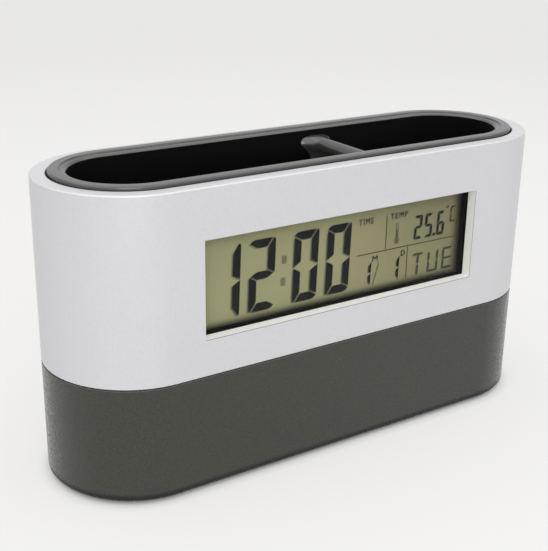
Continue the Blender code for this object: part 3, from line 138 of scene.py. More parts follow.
# Places worked out from the frame
HALF_LENGTH = sleeve_high.x
HALF_WIDTH = sleeve_high.y
END_X = HALF_LENGTH - HALF_WIDTH
SEAM_HEIGHT = sleeve_low.z
SLEEVE_TOP = sleeve_high.z
SHELF_TOP = SLEEVE_TOP - COLLAR_DEPTH
BASE_TOP = SEAM_HEIGHT - SEAM_GAP
BASE_BOTTOM = base_low.z
FLOOR_TOP = BASE_BOTTOM + BASE_FLOOR
LIP_TOP = base_high.z
RIM_TOP = tray_high.z
RIM_INSET = COLLAR_WIDTH + RIM_GROOVE
WELL_INSET = RIM_INSET + RIM_WIDTH
SKIRT_BOTTOM = SHELF_TOP + FIT_GAP
FRONT_INNER = SLEEVE_WALL - HALF_WIDTH
REAR_INNER = HALF_WIDTH - SLEEVE_WALL
WINDOW_HALF = lens_high.x - LENS_MARGIN
WINDOW_SILL = lens_low.z + LENS_MARGIN
WINDOW_HEAD = lens_high.z - LENS_MARGIN
KEY_HEIGHT = centre_of("key_board")[2]

# Screws, posts and feet, at the middle of their boxes
CORNERS = ("front_left", "rear_left", "front_right", "rear_right")
POST_X, POST_Y = centre_of("case_screw_rear_right")[:2]
LUG_X, LUG_Y = centre_of("tray_screw_right")[:2]
CASE_SEAT = case_screw_low.z + CASE_HEAD + FIT_GAP
TRAY_SEAT = tray_screw_low.z + TRAY_HEAD + FIT_GAP
FOOT_X, FOOT_Y = centre_of("foot_rear_right")[:2]
FOOT_RADIUS = (foot_high.x - foot_low.x) / 2

# Buttons, buzzer and battery door
BUTTONS = ("mode", "set", "up", "down")
BUTTON_XS = [centre_of(f"{name}_button")[0] for name in BUTTONS]
BUZZER_X = centre_of("piezo_buzzer")[0]
DOOR_HALF = door_high.x - DOOR_PIN_LENGTH
DOOR_OPENING_HALF = DOOR_HALF + FIT_GAP
DOOR_OPENING_HIGH = door_high.z + FIT_GAP
DOOR_AXIS_Y = HALF_WIDTH - DOOR_HINGE_RADIUS
DOOR_AXIS_Z = box_low.z + BOX_WALL + DOOR_HINGE_RADIUS
DOOR_OPENING_LOW = DOOR_AXIS_Z - DOOR_HINGE_RADIUS - FIT_GAP

# Pen wells, set between the main board's screws, the key board's screws and the battery box
WELL_FLOOR = tray_low.z + TRAY_WALL
WELL_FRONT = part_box("board_screw_1")[1].y + FIT_GAP + TRAY_WALL
WELL_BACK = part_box("key_board_screw_left")[0].y - FIT_GAP - TRAY_WALL
WELL_BACK_LOW = box_low.y - FIT_GAP - TRAY_WALL
WELL_TOP = RIM_TOP - RIM_STEP - RIM_FILLET
NECK_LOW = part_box("main_board")[1].z + FIT_GAP
SHOULDER_LOW = box_high.z + BOX_WALL
SHOULDER_HIGH = SHOULDER_LOW + (WELL_BACK - WELL_BACK_LOW) * SHOULDER_SLOPE
WELL_HALF_TOP = HALF_LENGTH - WELL_INSET
WELL_HALF_NECK = WELL_HALF_TOP - WELL_END_TAPER / 3
WELL_HALF_LOW = WELL_HALF_TOP - WELL_END_TAPER

# Figures of the display, in the plane of its front glass: x to the right, z up
GLASS_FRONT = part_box("lcd_front_glass")[0].y
FIGURE_THICKNESS = 0.00002
TIME_SIGNS = (("1", -0.0395), ("2", -0.0288), ("0", -0.0149), ("0", -0.0040))
TIME_BASE = 0.0452
COLON_WIDTH = 0.0016
COLON_HEIGHT = 0.0023
COLON_PLACES = ((-0.0187, 0.0508), (-0.0184, 0.0570))
TEMP_SIGNS = (("2", 0.0272), ("5", 0.0311), ("6", 0.0357))
TEMP_POINT_X = 0.0344
TEMP_BASE = 0.0561
DATE_RIGHTS = (0.0118, 0.0220)
DATE_BASE = 0.0452
DAY_SIGNS = (("U", 0.0331), ("E", 0.0387))
DAY_BASE = 0.0451
DAY_T_X = 0.0292
DAY_T_LEFT = 0.42
DAY_T_RIGHT = 0.46
DAY_T_SLANT = 0.0001
DEGREE_PLACE = (0.0396, 0.0642)
DEGREE_RADIUS = 0.0004
DEGREE_HOLE = 0.45
DEGREE_C_PLACE = (0.0407, 0.0593)

# Sizes of the figures: width, height, stroke, gap between segments and corner
SEGMENT_GAP = 0.00042
SMALL_GAP = 0.0002
TEMP_STROKE = 0.0008
DATE_STROKE = 0.0009
DATE_WIDTH = DATE_STROKE * 4
DAY_STROKE = 0.0006
DAY_WIDTH = 0.0038
DAY_HEIGHT = 0.0066
TIME_SIZE = (0.00795, 0.0199, 0.0023, SEGMENT_GAP, 0.0012)
TEMP_SIZE = (0.00275, 0.0071, TEMP_STROKE, SMALL_GAP, TEMP_STROKE / 3)
DATE_SIZE = (DATE_WIDTH, 0.0069, DATE_STROKE, SEGMENT_GAP, DATE_STROKE / 3)
DAY_SIZE = (DAY_WIDTH, DAY_HEIGHT, DAY_STROKE, SMALL_GAP, DAY_STROKE / 3)
DEGREE_C_SIZE = (0.0020, 0.0048, DAY_STROKE * 0.8, SMALL_GAP, DAY_STROKE / 3)

# How far the figures lean to the right, as a share of their height
LEAN = 0.033
DATE_LEAN = 0.035
DAY_LEAN = 0.02
DEGREE_C_LEAN = 0.03

# Fine rules by their ends, the thermometer, and the words in boxes of two corners
RULE_WIDTH = 0.00028
RULES = ((0.01685, 0.0550, 0.01685, 0.0650), (0.0067, 0.0547, 0.0441, 0.0546),
         (0.0250, 0.0446, 0.0250, 0.0544), (0.0127, 0.0450, 0.0147, 0.0515))
THERMOMETER_X = 0.02075
THERMOMETER_LOW = 0.0560
THERMOMETER_HIGH = 0.0623
THERMOMETER_BULB = 0.0009
BULB_RINGS = (1, 0.72, 0.4)
LCD_WORDS = (("TIME", (0.0071, 0.0634), (0.0122, 0.0652)),
             ("TEMP", (0.0182, 0.0635), (0.0244, 0.0652)),
             ("M", (0.0123, 0.0520), (0.0142, 0.0537)),
             ("D", (0.0226, 0.0519), (0.0241, 0.0536)))

# Letters: width and outlines in shares of the letter's box
LETTER_SPACE = 0.42
LETTERS = {
    "T": (1.0, [[(0, 1), (0, 0.83), (0.37, 0.83), (0.37, 0), (0.63, 0), (0.63, 0.83), (1, 0.83),
                 (1, 1)]]),
    "I": (0.26, [[(0, 0), (1, 0), (1, 1), (0, 1)]]),
    "M": (1.4, [[(0, 0), (0, 1), (0.2, 1), (0.5, 0.62), (0.8, 1), (1, 1), (1, 0), (0.82, 0),
                 (0.82, 0.68), (0.5, 0.32), (0.18, 0.68), (0.18, 0)]]),
    "E": (0.85, [[(0, 0), (0, 1), (1, 1), (1, 0.83), (0.3, 0.83), (0.3, 0.58), (0.9, 0.58),
                  (0.9, 0.42), (0.3, 0.42), (0.3, 0.17), (1, 0.17), (1, 0)]]),
    "P": (0.9, [[(0, 0), (0, 1), (0.75, 1), (1, 0.88), (1, 0.54), (0.75, 0.42), (0.28, 0.42),
                 (0.28, 0)],
                [(0.28, 0.84), (0.28, 0.58), (0.66, 0.58), (0.73, 0.64), (0.73, 0.78),
                 (0.66, 0.84)]]),
    "D": (0.95, [[(0, 0), (0, 1), (0.65, 1), (1, 0.75), (1, 0.25), (0.65, 0)],
                 [(0.27, 0.84), (0.27, 0.16), (0.57, 0.16), (0.73, 0.3), (0.73, 0.7),
                  (0.57, 0.84)]]),
    "N": (1.1, [[(0, 0), (0, 1), (0.24, 1), (0.78, 0.35), (0.78, 1), (1, 1), (1, 0), (0.76, 0),
                 (0.22, 0.65), (0.22, 0)]]),
    "O": (1.0, [[(0.25, 0), (0, 0.2), (0, 0.8), (0.25, 1), (0.75, 1), (1, 0.8), (1, 0.2),
                 (0.75, 0)],
                [(0.33, 0.16), (0.67, 0.16), (0.76, 0.27), (0.76, 0.73), (0.67, 0.84),
                 (0.33, 0.84), (0.24, 0.73), (0.24, 0.27)]]),
    "S": (0.9, [[(0.98, 0.72), (0.98, 0.85), (0.82, 1), (0.18, 1), (0, 0.85), (0, 0.56),
                 (0.18, 0.43), (0.7, 0.43), (0.74, 0.38), (0.74, 0.2), (0.7, 0.16), (0.3, 0.16),
                 (0.25, 0.2), (0.25, 0.28), (0, 0.28), (0, 0.15), (0.18, 0), (0.82, 0),
                 (1, 0.15), (1, 0.44), (0.82, 0.58), (0.3, 0.58), (0.26, 0.62), (0.26, 0.8),
                 (0.3, 0.84), (0.7, 0.84), (0.74, 0.8), (0.74, 0.72)]]),
    "U": (1.0, [[(0, 1), (0, 0.2), (0.25, 0), (0.75, 0), (1, 0.2), (1, 1), (0.76, 1),
                 (0.76, 0.27), (0.67, 0.16), (0.33, 0.16), (0.24, 0.27), (0.24, 1)]]),
    "W": (1.5, [[(0, 1), (0.18, 1), (0.3, 0.4), (0.43, 0.9), (0.57, 0.9), (0.7, 0.4), (0.82, 1),
                 (1, 1), (0.8, 0), (0.63, 0), (0.5, 0.55), (0.37, 0), (0.2, 0)]]),
}

# Painted shadows of the figures, offset as if thrown on the reflector, words over the buttons and
# the window's painted shadow line
SHADOW_SIDE = -0.0005
SHADOW_DROP = -0.00025
SMALL_SHADOW = 0.6
KEY_WORD_HEIGHT = 0.0018
KEY_WORD_BASE = 0.0655
KEY_WORD_SHARE = 0.6
WINDOW_SHADOW_LINE = 0.00018

# Sides of round ends, holes, bores, posts and pins, and the distance that merges doubles
END_STEPS = 64
HOLE_STEPS = 48
BORE_STEPS = 32
POST_STEPS = 24
SMALL_STEPS = 20
PIN_STEPS = 16
EDGE_ANGLE = 35
MERGE = 0.000002

# Finishes: bumps of paint and grain, painted shade on the base's lower edge and on the display
FLAKE_HEIGHT = 0.00002
GRAIN_HEIGHT = 0.00003
# painted shade: the base turns near black, without clear coat, below the low height, rising into
# the paint by the high one
LOWER_EDGE_SHADE_LOW = BASE_BOTTOM + BASE_EDGE * 0.8
LOWER_EDGE_SHADE_HIGH = BASE_BOTTOM + BASE_EDGE * 1.8
LOWER_EDGE_SHADE_COLOR = (0.003, 0.003, 0.004, 1)
CLEAR_COAT = 0.5
LCD_COLOR = (0.228, 0.222, 0.12)
# painted shade: the display glass turns darker towards the right
LCD_PAINTED_SHADE_RIGHT = (0.72, 0.68, 0.67, 1)
# painted shade: near black round the rim of the display glass, fading in over the shade widths
LCD_PAINTED_SHADE_COLOR = (0.004, 0.004, 0.003, 1)
LCD_EDGE = 0.0005
LCD_SHADE = 0.0025
LCD_END_SHADE = 0.0040

# Studio: floor, light and backdrop, and lamps by kind, place, spread, power and colour
FLOOR_SIZE = 6.0
FLOOR_COLOR = (0.62, 0.612, 0.59, 1)
FLOOR_GLOW = (0.98, 0.975, 0.975, 1)
FLOOR_LIFT = 0.62
# painted falloff: the floor's glow dims between these distances
FLOOR_FAR = 0.8
FLOOR_PAINTED_FALLOFF = 0.14
FLOOR_FADE = 0.0035
WORLD_COLOR = (0.96, 0.98, 1.0, 1)
WORLD_LEVEL = 0.45
BACKDROP_COLOR = (0.82, 0.82, 0.82, 1)
LAMPS = (("overhead_softbox", "SUN", (-0.15, -0.25, 1.0), 120, 2.4, (1.0, 0.995, 0.98)),
         ("front_softbox", "AREA", (-0.30, -0.60, 0.32), 0.4, 1.42, (1.0, 1.0, 1.0)))

# Camera: turn, tilt and roll in radians, place in metres, lens and sensor in millimetres
CAMERA_TURN = 0.5851
CAMERA_TILT = 0.3555
CAMERA_ROLL = 0.0150
CAMERA_PLACE = (-0.1620917, -0.232278, 0.1492797)
CAMERA_LENS = 67.56
CAMERA_SENSOR = 36


# Selection and edit helpers
def deselect_all():
    if bpy.context.mode != "OBJECT":
        bpy.ops.object.mode_set(mode="OBJECT")
    bpy.ops.object.select_all(action="DESELECT")


def make_active(piece):
    deselect_all()
    piece.select_set(True)
    bpy.context.view_layer.objects.active = piece


def open_edit(piece):
    make_active(piece)
    bpy.ops.object.mode_set(mode="EDIT")
    bpy.ops.mesh.select_mode(type="VERT")


def close_edit():
    bpy.ops.object.mode_set(mode="OBJECT")


def choose_all():
    bpy.ops.mesh.select_all(action="SELECT")


def choose(piece, test):
    """Select the vertices of the piece in edit mode that pass a test."""
    bm = bmesh.from_edit_mesh(piece.data)
    for vert in bm.verts:
        vert.select = test(vert)
    bm.select_flush_mode()
    bmesh.update_edit_mesh(piece.data)


def extrude_ring(piece, move):
    """Extrude what is selected, and return the indices of the new vertices."""
    bpy.ops.mesh.extrude_region_move(TRANSFORM_OT_translate={"value": move})
    bm = bmesh.from_edit_mesh(piece.data)
    return {vert.index for vert in bm.verts if vert.select}


def named(name):
    piece = bpy.context.active_object
    piece.name = name
    piece.data.name = name
    return piece


def settle_place():
    bpy.ops.object.transform_apply(location=True, rotation=True, scale=True)


def apply_all(piece):
    make_active(piece)
    for step in list(piece.modifiers):
        bpy.ops.object.modifier_apply(modifier=step.name)


def weld(piece, turn_out=False):
    """Merge doubles, and point every face out if that is asked for."""
    open_edit(piece)
    choose_all()
    bpy.ops.mesh.remove_doubles(threshold=MERGE)
    if turn_out:
        bpy.ops.mesh.normals_make_consistent(inside=False)
    close_edit()


def smooth(piece, angle=EDGE_ANGLE):
    make_active(piece)
    bpy.ops.object.shade_smooth_by_angle(angle=radians(angle))


# Stadium shapes: run to each end's centre, middle in Y, radius and height
def around(inset, z):
    return (END_X, 0.0, HALF_WIDTH - inset, z)


def well_shape(half_length, front, back, z):
    radius = (back - front) / 2
    return (half_length - radius, (front + back) / 2, radius, z)


def walk_stadium(name, shapes, capped=False):
    """Pull a circle's halves apart into a stadium and extrude it through the shapes."""
    run, middle, radius, z = shapes[0]
    deselect_all()
    bpy.ops.mesh.primitive_circle_add(vertices=2 * END_STEPS, radius=radius,
                                      fill_type="NGON" if capped else "NOTHING",
                                      location=(0, middle, z),
                                      rotation=(0, 0, pi / (2 * END_STEPS)))
    piece = named(name)
    settle_place()
    open_edit(piece)
    for side in (-1, 1):
        choose(piece, lambda vert: vert.co.x * side > 0)
        bpy.ops.transform.translate(value=(side * run, 0, 0))
    choose_all()
    for old, new in zip(shapes, shapes[1:]):
        ring = extrude_ring(piece, (0, new[1] - old[1], new[3] - old[3]))
        factor = new[2] / old[2]
        for side in (-1, 1):
            choose(piece, lambda vert: vert.index in ring and vert.co.x * side > 0)
            bpy.ops.transform.resize(value=(factor, factor, 1),
                                     center_override=(side * old[0], new[1], 0))
            bpy.ops.transform.translate(value=(side * (new[0] - old[0]), 0, 0))
        choose(piece, lambda vert: vert.index in ring)
    close_edit()
    weld(piece, turn_out=True)
    return piece


# Rounded corners of a profile
def quarter_turn(steps):
    """Sine and cosine at even steps from zero to a right angle."""
    turns = [i * pi / (2 * steps) for i in range(steps + 1)]
    return [(sin(turn), cos(turn)) for turn in turns]


def rounded(before, corner, after, radius, steps):
    """Points of an arc that rounds one corner of an (inset, height) profile."""
    start = (Vector(before) - Vector(corner)).normalized()
    end = (Vector(after) - Vector(corner)).normalized()
    half = start.angle(end) / 2
    centre = Vector(corner) + (start + end).normalized() * radius / sin(half)
    foot = radius * cos(half) / sin(half)
    first = Vector(corner) + start * foot - centre
    last = Vector(corner) + end * foot - centre
    sweep = first.angle(last)
    points = []
    for i in range(steps + 1):
        part = i / steps
        blend = first * sin((1 - part) * sweep) + last * sin(part * sweep)
        points.append(tuple(centre + blend / sin(sweep)))
    return points


# Cutters and joined lumps
def block(low, high):
    low = Vector(low)
    high = Vector(high)
    deselect_all()
    bpy.ops.mesh.primitive_cube_add(size=1, location=(low + high) / 2)
    piece = named("block")
    piece.scale = high - low
    settle_place()
    return piece


def rod(start, end, radius, steps=HOLE_STEPS):
    start = Vector(start)
    run = Vector(end) - start
    deselect_all()
    turn = Vector((0, 0, 1)).rotation_difference(run).to_euler()
    bpy.ops.mesh.primitive_cylinder_add(vertices=steps, radius=radius, depth=run.length,
                                        location=start + run / 2, rotation=turn)
    piece = named("rod")
    settle_place()
    return piece


def rounded_block(low, high, radius):
    """A block whose four edges along Y are rounded."""
    piece = block(low, high)
    open_edit(piece)
    bpy.ops.mesh.select_mode(type="EDGE")
    bm = bmesh.from_edit_mesh(piece.data)
    for edge in bm.edges:
        run = edge.verts[0].co - edge.verts[1].co
        edge.select_set(abs(run.y) > abs(run.x) + abs(run.z))
    bmesh.update_edit_mesh(piece.data)
    bpy.ops.mesh.bevel(offset=radius, segments=6, affect="EDGES")
    close_edit()
    return piece


def combine(piece, tools, operation):
    """Cut or join the piece with each tool, and remove the tools."""
    for tool in tools:
        step = piece.modifiers.new(tool.name, "BOOLEAN")
        step.object = tool
        step.operation = operation
        step.solver = "EXACT"
        apply_all(piece)
        bpy.data.objects.remove(tool, do_unlink=True)


def spun(name, profile, place, towards, steps=HOLE_STEPS):
    """Spin a profile of (radius, height) points about its own axis."""
    deselect_all()
    radius, height = profile[0]
    bpy.ops.mesh.primitive_plane_add(size=MERGE, location=(0, 0, 0))
    piece = named(name)
    open_edit(piece)
    choose_all()
    bpy.ops.mesh.merge(type="CENTER")
    bpy.ops.transform.translate(value=(radius, 0, height))
    for old, new in zip(profile, profile[1:]):
        extrude_ring(piece, (new[0] - old[0], 0, new[1] - old[1]))
    choose_all()
    bpy.ops.mesh.spin(steps=steps, angle=2 * pi, center=(0, 0, 0), axis=(0, 0, 1))
    close_edit()
    weld(piece, turn_out=True)
    piece.rotation_mode = "QUATERNION"
    piece.rotation_quaternion = Vector((0, 0, 1)).rotation_difference(Vector(towards))
    piece.location = place
    make_active(piece)
    settle_place()
    return piece


def soften(piece, width, angle=EDGE_ANGLE):
    """Round the hard edges a little and even out the shading."""
    step = piece.modifiers.new("soft_edges", "BEVEL")
    step.width = width
    step.segments = 2
    step.limit_method = "ANGLE"
    step.angle_limit = radians(angle)
    step.use_clamp_overlap = True
    step.harden_normals = False
    apply_all(piece)
    weld(piece)
    smooth(piece, angle)
    even = piece.modifiers.new("even_shading", "WEIGHTED_NORMAL")
    even.keep_sharp = True
    even.weight = 80
    apply_all(piece)


def dress(piece, finish, body="root", replaced=()):
    piece.data.materials.clear()
    piece.data.materials.append(finish)
    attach(piece, body)
    if replaced:
        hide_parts(*replaced)


def corner_places(x, y):
    return [(side * x, end * y) for side in (-1, 1) for end in (-1, 1)]


# Upper casing: a painted sleeve with a collar, a shelf, a window and a button panel
def make_casing(finish, reveal_lit_finish):
    top_outer = rounded((0, SEAM_HEIGHT), (0, SLEEVE_TOP), (COLLAR_WIDTH, SLEEVE_TOP),
                        SLEEVE_EDGE, steps=5)
    top_inner = rounded((0, SLEEVE_TOP), (COLLAR_WIDTH, SLEEVE_TOP),
                        (COLLAR_WIDTH, SHELF_TOP), SLEEVE_EDGE / 2, steps=3)
    shelf_edge = COLLAR_WIDTH + SHELF_REACH
    shelf_under = SHELF_TOP - SHELF_THICKNESS
    profile = [(SEAM_EDGE, SEAM_HEIGHT), (0, SEAM_HEIGHT + SEAM_EDGE), *top_outer, *top_inner,
               (COLLAR_WIDTH, SHELF_TOP), (shelf_edge, SHELF_TOP), (shelf_edge, shelf_under),
               (SLEEVE_WALL, shelf_under), (SLEEVE_WALL, SEAM_HEIGHT),
               (SEAM_EDGE, SEAM_HEIGHT)]
    casing = walk_stadium("silver_casing", [around(inset, z) for inset, z in profile])

    posts = [rod((x, y, SEAM_HEIGHT), (x, y, SEAM_HEIGHT + POST_HEIGHT), POST_RADIUS, POST_STEPS)
             for x, y in corner_places(POST_X, POST_Y)]
    combine(casing, posts, "UNION")
    sink = SLEEVE_WALL / 3  # how far a cutter reaches past a wall
    window = block((-WINDOW_HALF, -HALF_WIDTH - sink, WINDOW_SILL),
                   (WINDOW_HALF, FRONT_INNER + sink, WINDOW_HEAD))
    panel_face = HALF_WIDTH - PANEL_DEPTH
    panel_half = BUTTON_XS[-1] + PANEL_END_MARGIN
    panel = rounded_block((-panel_half, panel_face, KEY_HEIGHT - PANEL_HEIGHT / 2),
                          (panel_half, HALF_WIDTH + sink, KEY_HEIGHT + PANEL_HEIGHT / 2),
                          PANEL_HEIGHT / 4)
    holes = [rod((x, REAR_INNER - sink, KEY_HEIGHT), (x, HALF_WIDTH, KEY_HEIGHT),
                 BUTTON_RADIUS + FIT_GAP) for x in BUTTON_XS]
    holes += [rod((x, REAR_INNER - sink, z), (x, HALF_WIDTH + sink, z), SOUND_HOLE_RADIUS,
                  SMALL_STEPS) for x, z in sound_places()]
    combine(casing, [window, panel, *holes], "DIFFERENCE")
    weld(casing)
    soften(casing, SLEEVE_EDGE / 3)
    dress(casing, finish, replaced=["upper_sleeve"])

    # painted light: the reveal round the window is painted much lighter than the silver, for the
    # strong light it catches
    casing.data.materials.append(reveal_lit_finish)
    for face in casing.data.polygons:
        x, y, z = face.center
        in_window = abs(x) < WINDOW_HALF + MERGE and WINDOW_SILL - MERGE < z < WINDOW_HEAD + MERGE
        if in_window and SLEEVE_EDGE - HALF_WIDTH < y < FRONT_INNER:
            face.material_index = 1


def sound_places():
    """One hole before the buzzer's middle and six in a ring round it."""
    ring = [(BUZZER_X + SOUND_HOLE_PITCH * cos(i * pi / 3),
             KEY_HEIGHT + SOUND_HOLE_PITCH * sin(i * pi / 3)) for i in range(6)]
    return [(BUZZER_X, KEY_HEIGHT), *ring]


# Base: a dark shell with a lip, screw bores, feet pockets and the battery opening
def make_base(finish):
    edge = rounded((BASE_EDGE * 3, BASE_BOTTOM), (0, BASE_BOTTOM), (0, BASE_TOP), BASE_EDGE,
                   steps=8)
    lip_out = SLEEVE_WALL + FIT_GAP
    lip_in = lip_out + LIP_WALL
    profile = [*edge, (0, BASE_TOP - SEAM_EDGE), (SEAM_EDGE, BASE_TOP), (lip_out, BASE_TOP),
               (lip_out, LIP_TOP), (lip_in, LIP_TOP), (lip_in, BASE_TOP - LIP_ROOT),
               (BASE_WALL, BASE_TOP - LIP_ROOT - (lip_in - BASE_WALL)), (BASE_WALL, FLOOR_TOP)]
    base = walk_stadium("charcoal_base", [around(inset, z) for inset, z in profile], True)

    # the towers end a little under the seam, in no plane of the shell
    posts = corner_places(POST_X, POST_Y)
    lugs = [(-LUG_X, LUG_Y), (LUG_X, LUG_Y)]
    root = FLOOR_TOP - BASE_FLOOR / 3
    tower_top = BASE_TOP - FIT_GAP / 2
    towers = [rod((x, y, root), (x, y, tower_top), CASE_BORE + TOWER_WALL, BORE_STEPS)
              for x, y in posts]
    towers += [rod((x, y, root), (x, y, TRAY_SEAT + TRAY_HEAD), TRAY_BORE + TOWER_WALL, BORE_STEPS)
               for x, y in lugs]
    combine(base, towers, "UNION")

    under = BASE_BOTTOM - BASE_FLOOR
    cuts = []
    for x, y in posts:
        cuts.append(rod((x, y, BASE_TOP - FIT_GAP / 3), (x, y, LIP_TOP + FIT_GAP),
                        POST_RADIUS + FIT_GAP, POST_STEPS))
        cuts.append(rod((x, y, under), (x, y, CASE_SEAT), CASE_BORE, BORE_STEPS))
    for x, y in lugs:
        cuts.append(rod((x, y, under), (x, y, TRAY_SEAT), TRAY_BORE, BORE_STEPS))
    for x, y in corner_places(FOOT_X, FOOT_Y):
        cuts.append(rod((x, y, under), (x, y, foot_high.z + FIT_GAP), FOOT_RADIUS + FIT_GAP))
    cuts.append(block((-DOOR_OPENING_HALF, box_high.y, DOOR_OPENING_LOW),
                      (DOOR_OPENING_HALF, HALF_WIDTH + BASE_WALL, DOOR_OPENING_HIGH)))
    cuts.append(rod((-door_high.x - FIT_GAP, DOOR_AXIS_Y, DOOR_AXIS_Z),
                    (door_high.x + FIT_GAP, DOOR_AXIS_Y, DOOR_AXIS_Z),
                    DOOR_PIN_RADIUS + FIT_GAP, PIN_STEPS))
    cuts.append(rod((0, HALF_WIDTH - THUMB_DEPTH, DOOR_OPENING_HIGH),
                    (0, HALF_WIDTH + THUMB_DEPTH, DOOR_OPENING_HIGH), THUMB_RADIUS))
    combine(base, cuts, "DIFFERENCE")
    soften(base, SLEEVE_EDGE / 3)
    dress(base, finish, replaced=["base_shell"])


# Pen tray: rim, skirt and wells in one moulding, with a flared divider
def well_shapes(wall):
    low = WELL_HALF_LOW + wall
    neck = WELL_HALF_NECK + wall
    front = WELL_FRONT - wall
    back_low = WELL_BACK_LOW + wall
    back = WELL_BACK + wall
    floor = WELL_FLOOR - wall
    edge = WELL_FLOOR_EDGE
    shapes = []
    for across, up in quarter_turn(4):
        shrink = edge * (1 - across)
        shapes.append(well_shape(low - shrink, front + shrink, back_low - shrink,
                                 floor + edge * (1 - up)))
    return [*shapes,
            well_shape(low, front, back_low, SHOULDER_LOW),
            well_shape(low, front, back, SHOULDER_HIGH),
            well_shape(neck, front, back, NECK_LOW),
            around(WELL_INSET - wall, WELL_TOP)]


def make_tray(finish, well_shade_finish):
    step_inset = RIM_INSET + RIM_BAND
    inner_top = RIM_TOP - RIM_STEP
    rim_under = RIM_TOP - TRAY_WALL
    fillet = rounded((WELL_INSET, WELL_TOP), (WELL_INSET, inner_top), (step_inset, inner_top),
                     RIM_FILLET, steps=8)
    outer = rounded((step_inset, RIM_TOP), (RIM_INSET, RIM_TOP), (RIM_INSET, SKIRT_BOTTOM),
                    RIM_EDGE, steps=6)
    step = rounded((step_inset + RIM_STEP, inner_top), (step_inset, RIM_TOP),
                   (RIM_INSET, RIM_TOP), RIM_STEP / 3, steps=2)
    skirt_inner = RIM_INSET + SKIRT_WALL
    rim = [*fillet[1:], (step_inset + RIM_STEP / 2, inner_top), *step, *outer,
           (RIM_INSET, SKIRT_BOTTOM), (skirt_inner, SKIRT_BOTTOM), (skirt_inner, rim_under),
           (WELL_INSET - TRAY_WALL, rim_under)]
    shapes = well_shapes(0) + [around(inset, z) for inset, z in rim]
    shapes += reversed(well_shapes(TRAY_WALL)[:-1])
    tray = walk_stadium("pen_tray_moulding", shapes, True)

    divider = make_divider_block()
    inside = walk_stadium("well_mid_skin", well_shapes(TRAY_WALL / 2), True)
    combine(divider, [inside], "INTERSECT")
    combine(tray, [divider], "UNION")
    soften(tray, RIM_STEP / 3, angle=40)
    dress(tray, finish, replaced=["pen_tray"])

    # near-black matt on the walls of the wells, in part painted shade for their depth; satin on
    # the rim and the divider's round top
    tray.data.materials.append(well_shade_finish)
    bead_low = RIM_TOP - DIVIDER_DROP - 3 * BEAD_RADIUS
    bead_reach = BEAD_RADIUS + FLARE_WIDTH
    well_radius = HALF_WIDTH - WELL_INSET + RIM_FILLET / 4
    corners = tray.data.vertices
    for face in tray.data.polygons:
        x, y, z = face.center
        out = sqrt(max(abs(x) - END_X, 0) ** 2 + y * y)
        furthest = max(abs(corners[i].co.x - DIVIDER_X) for i in face.vertices)
        on_bead = furthest < bead_reach and z > bead_low
        if out < well_radius and z < WELL_TOP + RIM_FILLET / 2 and not on_bead:
            face.material_index = 1


def make_divider_block():
    """An arched bar across the well, extruded in Y and flared at both walls."""
    bead_middle = RIM_TOP - DIVIDER_DROP - BEAD_RADIUS
    web = DIVIDER_WEB / 2
    web_top = bead_middle - 2 * BEAD_RADIUS
    front = WELL_INSET - HALF_WIDTH
    places = [front + FLARE_LENGTH * i / FLARE_STEPS for i in range(FLARE_STEPS + 1)]
    places += [-y for y in reversed(places)]
    places = [front - TRAY_WALL, *places, TRAY_WALL - front]

    outline = [(-web, tray_low.z), (-web, web_top)]
    for i in range(BEAD_STEPS + 1):
        turn = pi + radians(BEAD_SWEEP / 2 - 90) - i * radians(BEAD_SWEEP) / BEAD_STEPS
        outline.append((BEAD_RADIUS * cos(turn), bead_middle + BEAD_RADIUS * sin(turn)))
    outline += [(web, web_top), (web, tray_low.z)]

    deselect_all()
    bpy.ops.mesh.primitive_circle_add(vertices=len(outline), radius=1, fill_type="NGON",
                                      rotation=(pi / 2, 0, 0))
    bar = named("divider_block")
    settle_place()
    for vert, (x, z) in zip(bar.data.vertices, outline):
        vert.co = (x, places[0], z)
    open_edit(bar)
    choose_all()
    last = (1.0, 1.0)
    for old, new in zip(places, places[1:]):
        ring = extrude_ring(bar, (0, new - old, 0))
        depth = min(1.0, max(0.0, 1 - (abs(front) - abs(new)) / FLARE_LENGTH))
        flare = FLARE_WIDTH * (1 - sqrt(1 - depth * depth))
        now = ((BEAD_RADIUS + flare) / BEAD_RADIUS, (web + flare * FLARE_WEB_SHARE) / web)
        for part, above in ((0, True), (1, False)):
            choose(bar, lambda vert: vert.index in ring and (vert.co.z > web_top + MERGE) == above)
            bpy.ops.transform.resize(value=(now[part] / last[part], 1, 1),
                                     center_override=(0, new, 0))
        choose(bar, lambda vert: vert.index in ring)
        last = now
    choose_all()
    bpy.ops.transform.translate(value=(DIVIDER_X, 0, 0))
    close_edit()
    weld(bar, turn_out=True)
    return bar


# Buttons: round caps with a shallow dish, on the flanges that hold them in
def make_buttons(finish):
    for name, x in zip(BUTTONS, BUTTON_XS):
        node = f"{name}_button"
        low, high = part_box(node)
        cap = high.y - low.y
        flange = (high.x - low.x) / 2
        profile = [(BUTTON_RADIUS * share, cap - BUTTON_DISH * depth)
                   for share, depth in DISH_PROFILE]
        profile += [(BUTTON_RADIUS - BUTTON_EDGE * (1 - out), cap - BUTTON_EDGE * (1 - up))
                    for out, up in quarter_turn(5)]
        profile += [(BUTTON_RADIUS, FLANGE_THICKNESS), (flange, FLANGE_THICKNESS), (flange, 0),
                    (0, 0)]
        button = spun(f"{node}_cap", profile, (x, low.y, KEY_HEIGHT), (0, 1, 0))
        smooth(button)
        dress(button, finish, node, [node])


